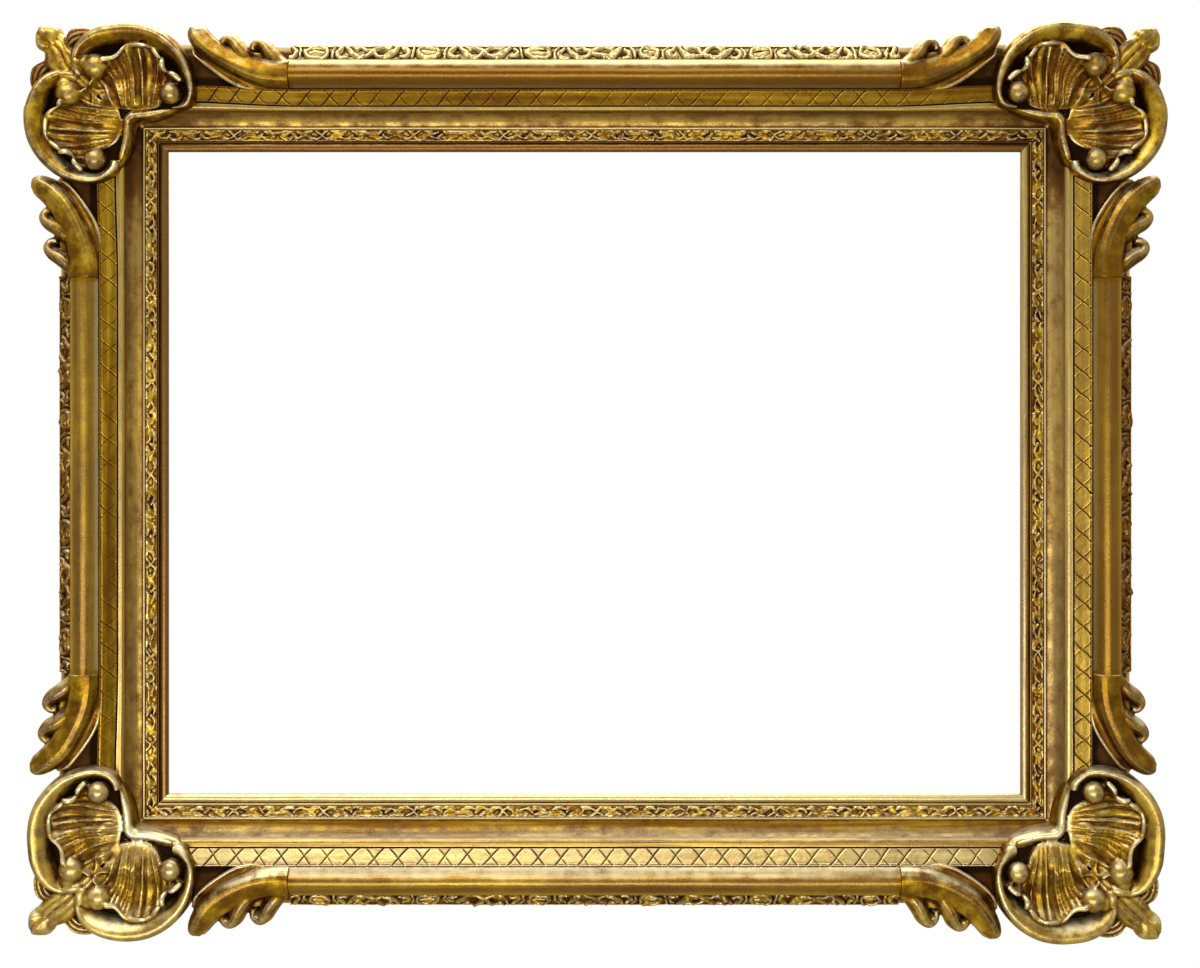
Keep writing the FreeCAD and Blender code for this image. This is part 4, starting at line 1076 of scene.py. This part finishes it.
def leaf_master():
    """A leaf in plan along one rail: the body, its fingers, two striae beside it and the bed."""
    pieces = [sweep("body", LEAF_LINE, TORUS_SHARES, LEAF_FOOT, LEAF_SHARES)]
    for line in FINGER_LINES:
        pieces.append(sweep("finger", line, ROUND_SHARES, LEAF_FOOT))
    for start, middle, end in (((-84, 43.6), (-60, 46.5), (-34, 60)), ((-76, 43.0), (-52, 45.5), (-27, 62))):
        pieces.append(cord_along("stria", ((*start, 37.0, 1.0), (*middle, 38.9, 1.6), (*end, 38.9, 1.6),
                                           (end[0] + 5, end[1] + 9, 37.5, 1.0))))
    pieces.append(plate("bed", LEAF_BED, LEAF_BED_TOP, LEAF_FOOT))
    return fused("leaf_master", pieces, LEAF_VOXEL)


LEAVES = {
    # name: (across, up), the rail, how far the tips stand out from the master
    "top_left": ((-1, 1), "top", -4.5), "top_right": ((1, 1), "top", -4.0),
    "bottom_left": ((-1, -1), "bottom", 3.0), "bottom_right": ((1, -1), "bottom", 5.0),
    "left_upper": ((-1, 1), "left", 0.0), "right_upper": ((1, 1), "right", 2.0),
    "left_lower": ((-1, -1), "left", 1.0), "right_lower": ((1, -1), "right", -1.0),
}


def make_leaves():
    master = leaf_master()
    values = None
    u, v, height = places_of(master.data).T
    off_seam = eased(-86, -83, u)
    off_torus = eased(-88, -60, u)
    for name, (place, side, shift) in LEAVES.items():
        out = v + shift * eased(56, 84, v)
        out = out - drawn_in(side, HALF_OPENING[side] + u, out, height)
        plan = (out, u) if WAY[side] else (u, out)
        piece = laid(master, f"leaf_{name}_cast", at_corner(*place, *plan, height))
        if values is None:
            values = casting_relief(piece) * off_seam
        mark_hollow_toning_and_light(piece, values, TONING_AND_PAINTED_LIGHT["leaf"][side] * off_torus + TONING_AND_PAINTED_LIGHT["torus"][side] * (1 - off_torus))
        finished(piece, "gilt_casting", f"leaf_{name}", GILT_CASTING)
    bpy.data.objects.remove(master)


# Stage, camera and lights

# in metres, with the camera's distance from the front of the lip
SIGHT_PLANE = LIP_HEIGHT * MM
CAMERA_DISTANCE = 1.2
CAMERA_HEIGHT = 0.088
FLOOR_DROP = 1.15

# metres a pixel at the lip, the picture's size and where the camera's axis meets it in pixels, sensor in mm
SIGHT_SCALE = 0.0007034
PHOTO_WIDTH, PHOTO_HEIGHT = 1200, 968
AXIS_PX = (594.5, 348.0)
SENSOR = 36.0


def make_camera():
    data = bpy.data.cameras.new("camera")
    data.sensor_width = SENSOR
    data.lens = SENSOR * CAMERA_DISTANCE / (PHOTO_WIDTH * SIGHT_SCALE)
    data.shift_x = (PHOTO_WIDTH / 2 - AXIS_PX[0]) / PHOTO_WIDTH
    data.shift_y = -(PHOTO_HEIGHT / 2 - AXIS_PX[1]) / PHOTO_WIDTH
    camera = linked(bpy.data.objects.new("camera", data))
    camera.location = (0, -(SIGHT_PLANE + CAMERA_DISTANCE), CAMERA_HEIGHT)
    camera.rotation_euler = (math.pi / 2, 0, 0)
    bpy.context.scene.camera = camera


def make_stage():
    bpy.ops.mesh.primitive_plane_add(size=1, location=(0, -1.2, -FLOOR_DROP))
    floor = bpy.context.object
    floor.name = "floor"
    floor.scale = (8, 6.6, 1)
    bpy.ops.object.transform_apply(location=True, rotation=False, scale=True)
    pale = NodeMaker(bpy.data.materials.new("pale_floor"))
    floor.data.materials.append(pale.material(Base_Color=linear(238, 238, 236), Roughness=0.8))


def make_world():
    """White to the camera and in what shines or lets light through, a dim grey in the light it gives."""
    world = bpy.data.worlds.new("studio")
    bpy.context.scene.world = world
    w = NodeMaker(world)
    rays = ("Is Camera Ray", "Is Glossy Ray", "Is Transmission Ray")
    seen, shiny, through = (w.node("LightPath", output=ray) for ray in rays)
    room = w.node("Background", {}, {"Color": (0.80, 0.82, 0.86, 1), "Strength": 0.30})
    white = w.node("Background", {}, {"Color": (1, 1, 1, 1), "Strength": 1.0})
    shown = (seen + shiny).math("ADD", through, clamp=True)
    w.node("OutputWorld", {}, {"Surface": w.node("MixShader", {}, {0: shown, 1: room, 2: white})})


LIGHTS = (
    # name, place, aim, width, height, watts
    ("key", (-0.45, -1.05, 1.4), (0, 0, 0), 1.7, 1.0, 22.0),
    ("over", (0.0, 0.65, 1.5), (0, 0, 0.1), 2.0, 1.0, 26.0),
    ("low", (-0.2, -1.7, -0.62), (0, 0, -0.1), 1.6, 0.5, 17.0),
    ("back", (0.4, 2.2, 0.9), (0, 0, 0), 1.4, 1.0, 14.0),
)


def make_lights():
    for name, place, aim, width, height, watts in LIGHTS:
        data = bpy.data.lights.new(name, "AREA")
        data.shape = "RECTANGLE"
        data.size, data.size_y = width, height
        data.energy = watts
        light = linked(bpy.data.objects.new(name, data))
        light.location = place
        way = np.subtract(aim, place)
        flat = math.hypot(way[0], way[1])
        light.rotation_euler = (math.pi / 2 + math.atan2(way[2], flat), 0, math.atan2(-way[0], way[1]))


bpy.context.scene.view_settings.view_transform = "Standard"
make_camera()
make_stage()
make_world()
make_lights()
for side in SIDES:
    make_rail(side)
    make_frieze(side)
    make_torus(side)
    make_strip(side, "inner_strip", (LIP_END + 0.2, STRIP_SEAT - 0.4), (STRIP_END - 0.2, COVE_FOOT - 0.7),
               rise=1.7, half=HALF_OPENING[side], stretch=0.86, pad=6.0, strokes=VINE_STROKES)
    make_strip(side, "outer_strip", (TORUS_END, OUTER_SEAT), (RAIL_WIDTH, OUTER_EDGE),
               rise=3.2, half=TORUS_HALF[side], stretch=1.04, pad=None, strokes=BOW_STROKES)
make_corners()
make_leaves()

# the nodes that scene.py shows as they are
PLAIN = {"spline": HARDWOOD, "button": BRASS, "ring": STEEL, "strap": STEEL, "hanger": STEEL}
for name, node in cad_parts.items():
    finish = STEEL if name == "button_screws" else PLAIN.get(name.split("_")[0])
    if finish is not None:
        node.data.materials.clear()
        node.data.materials.append(finish)
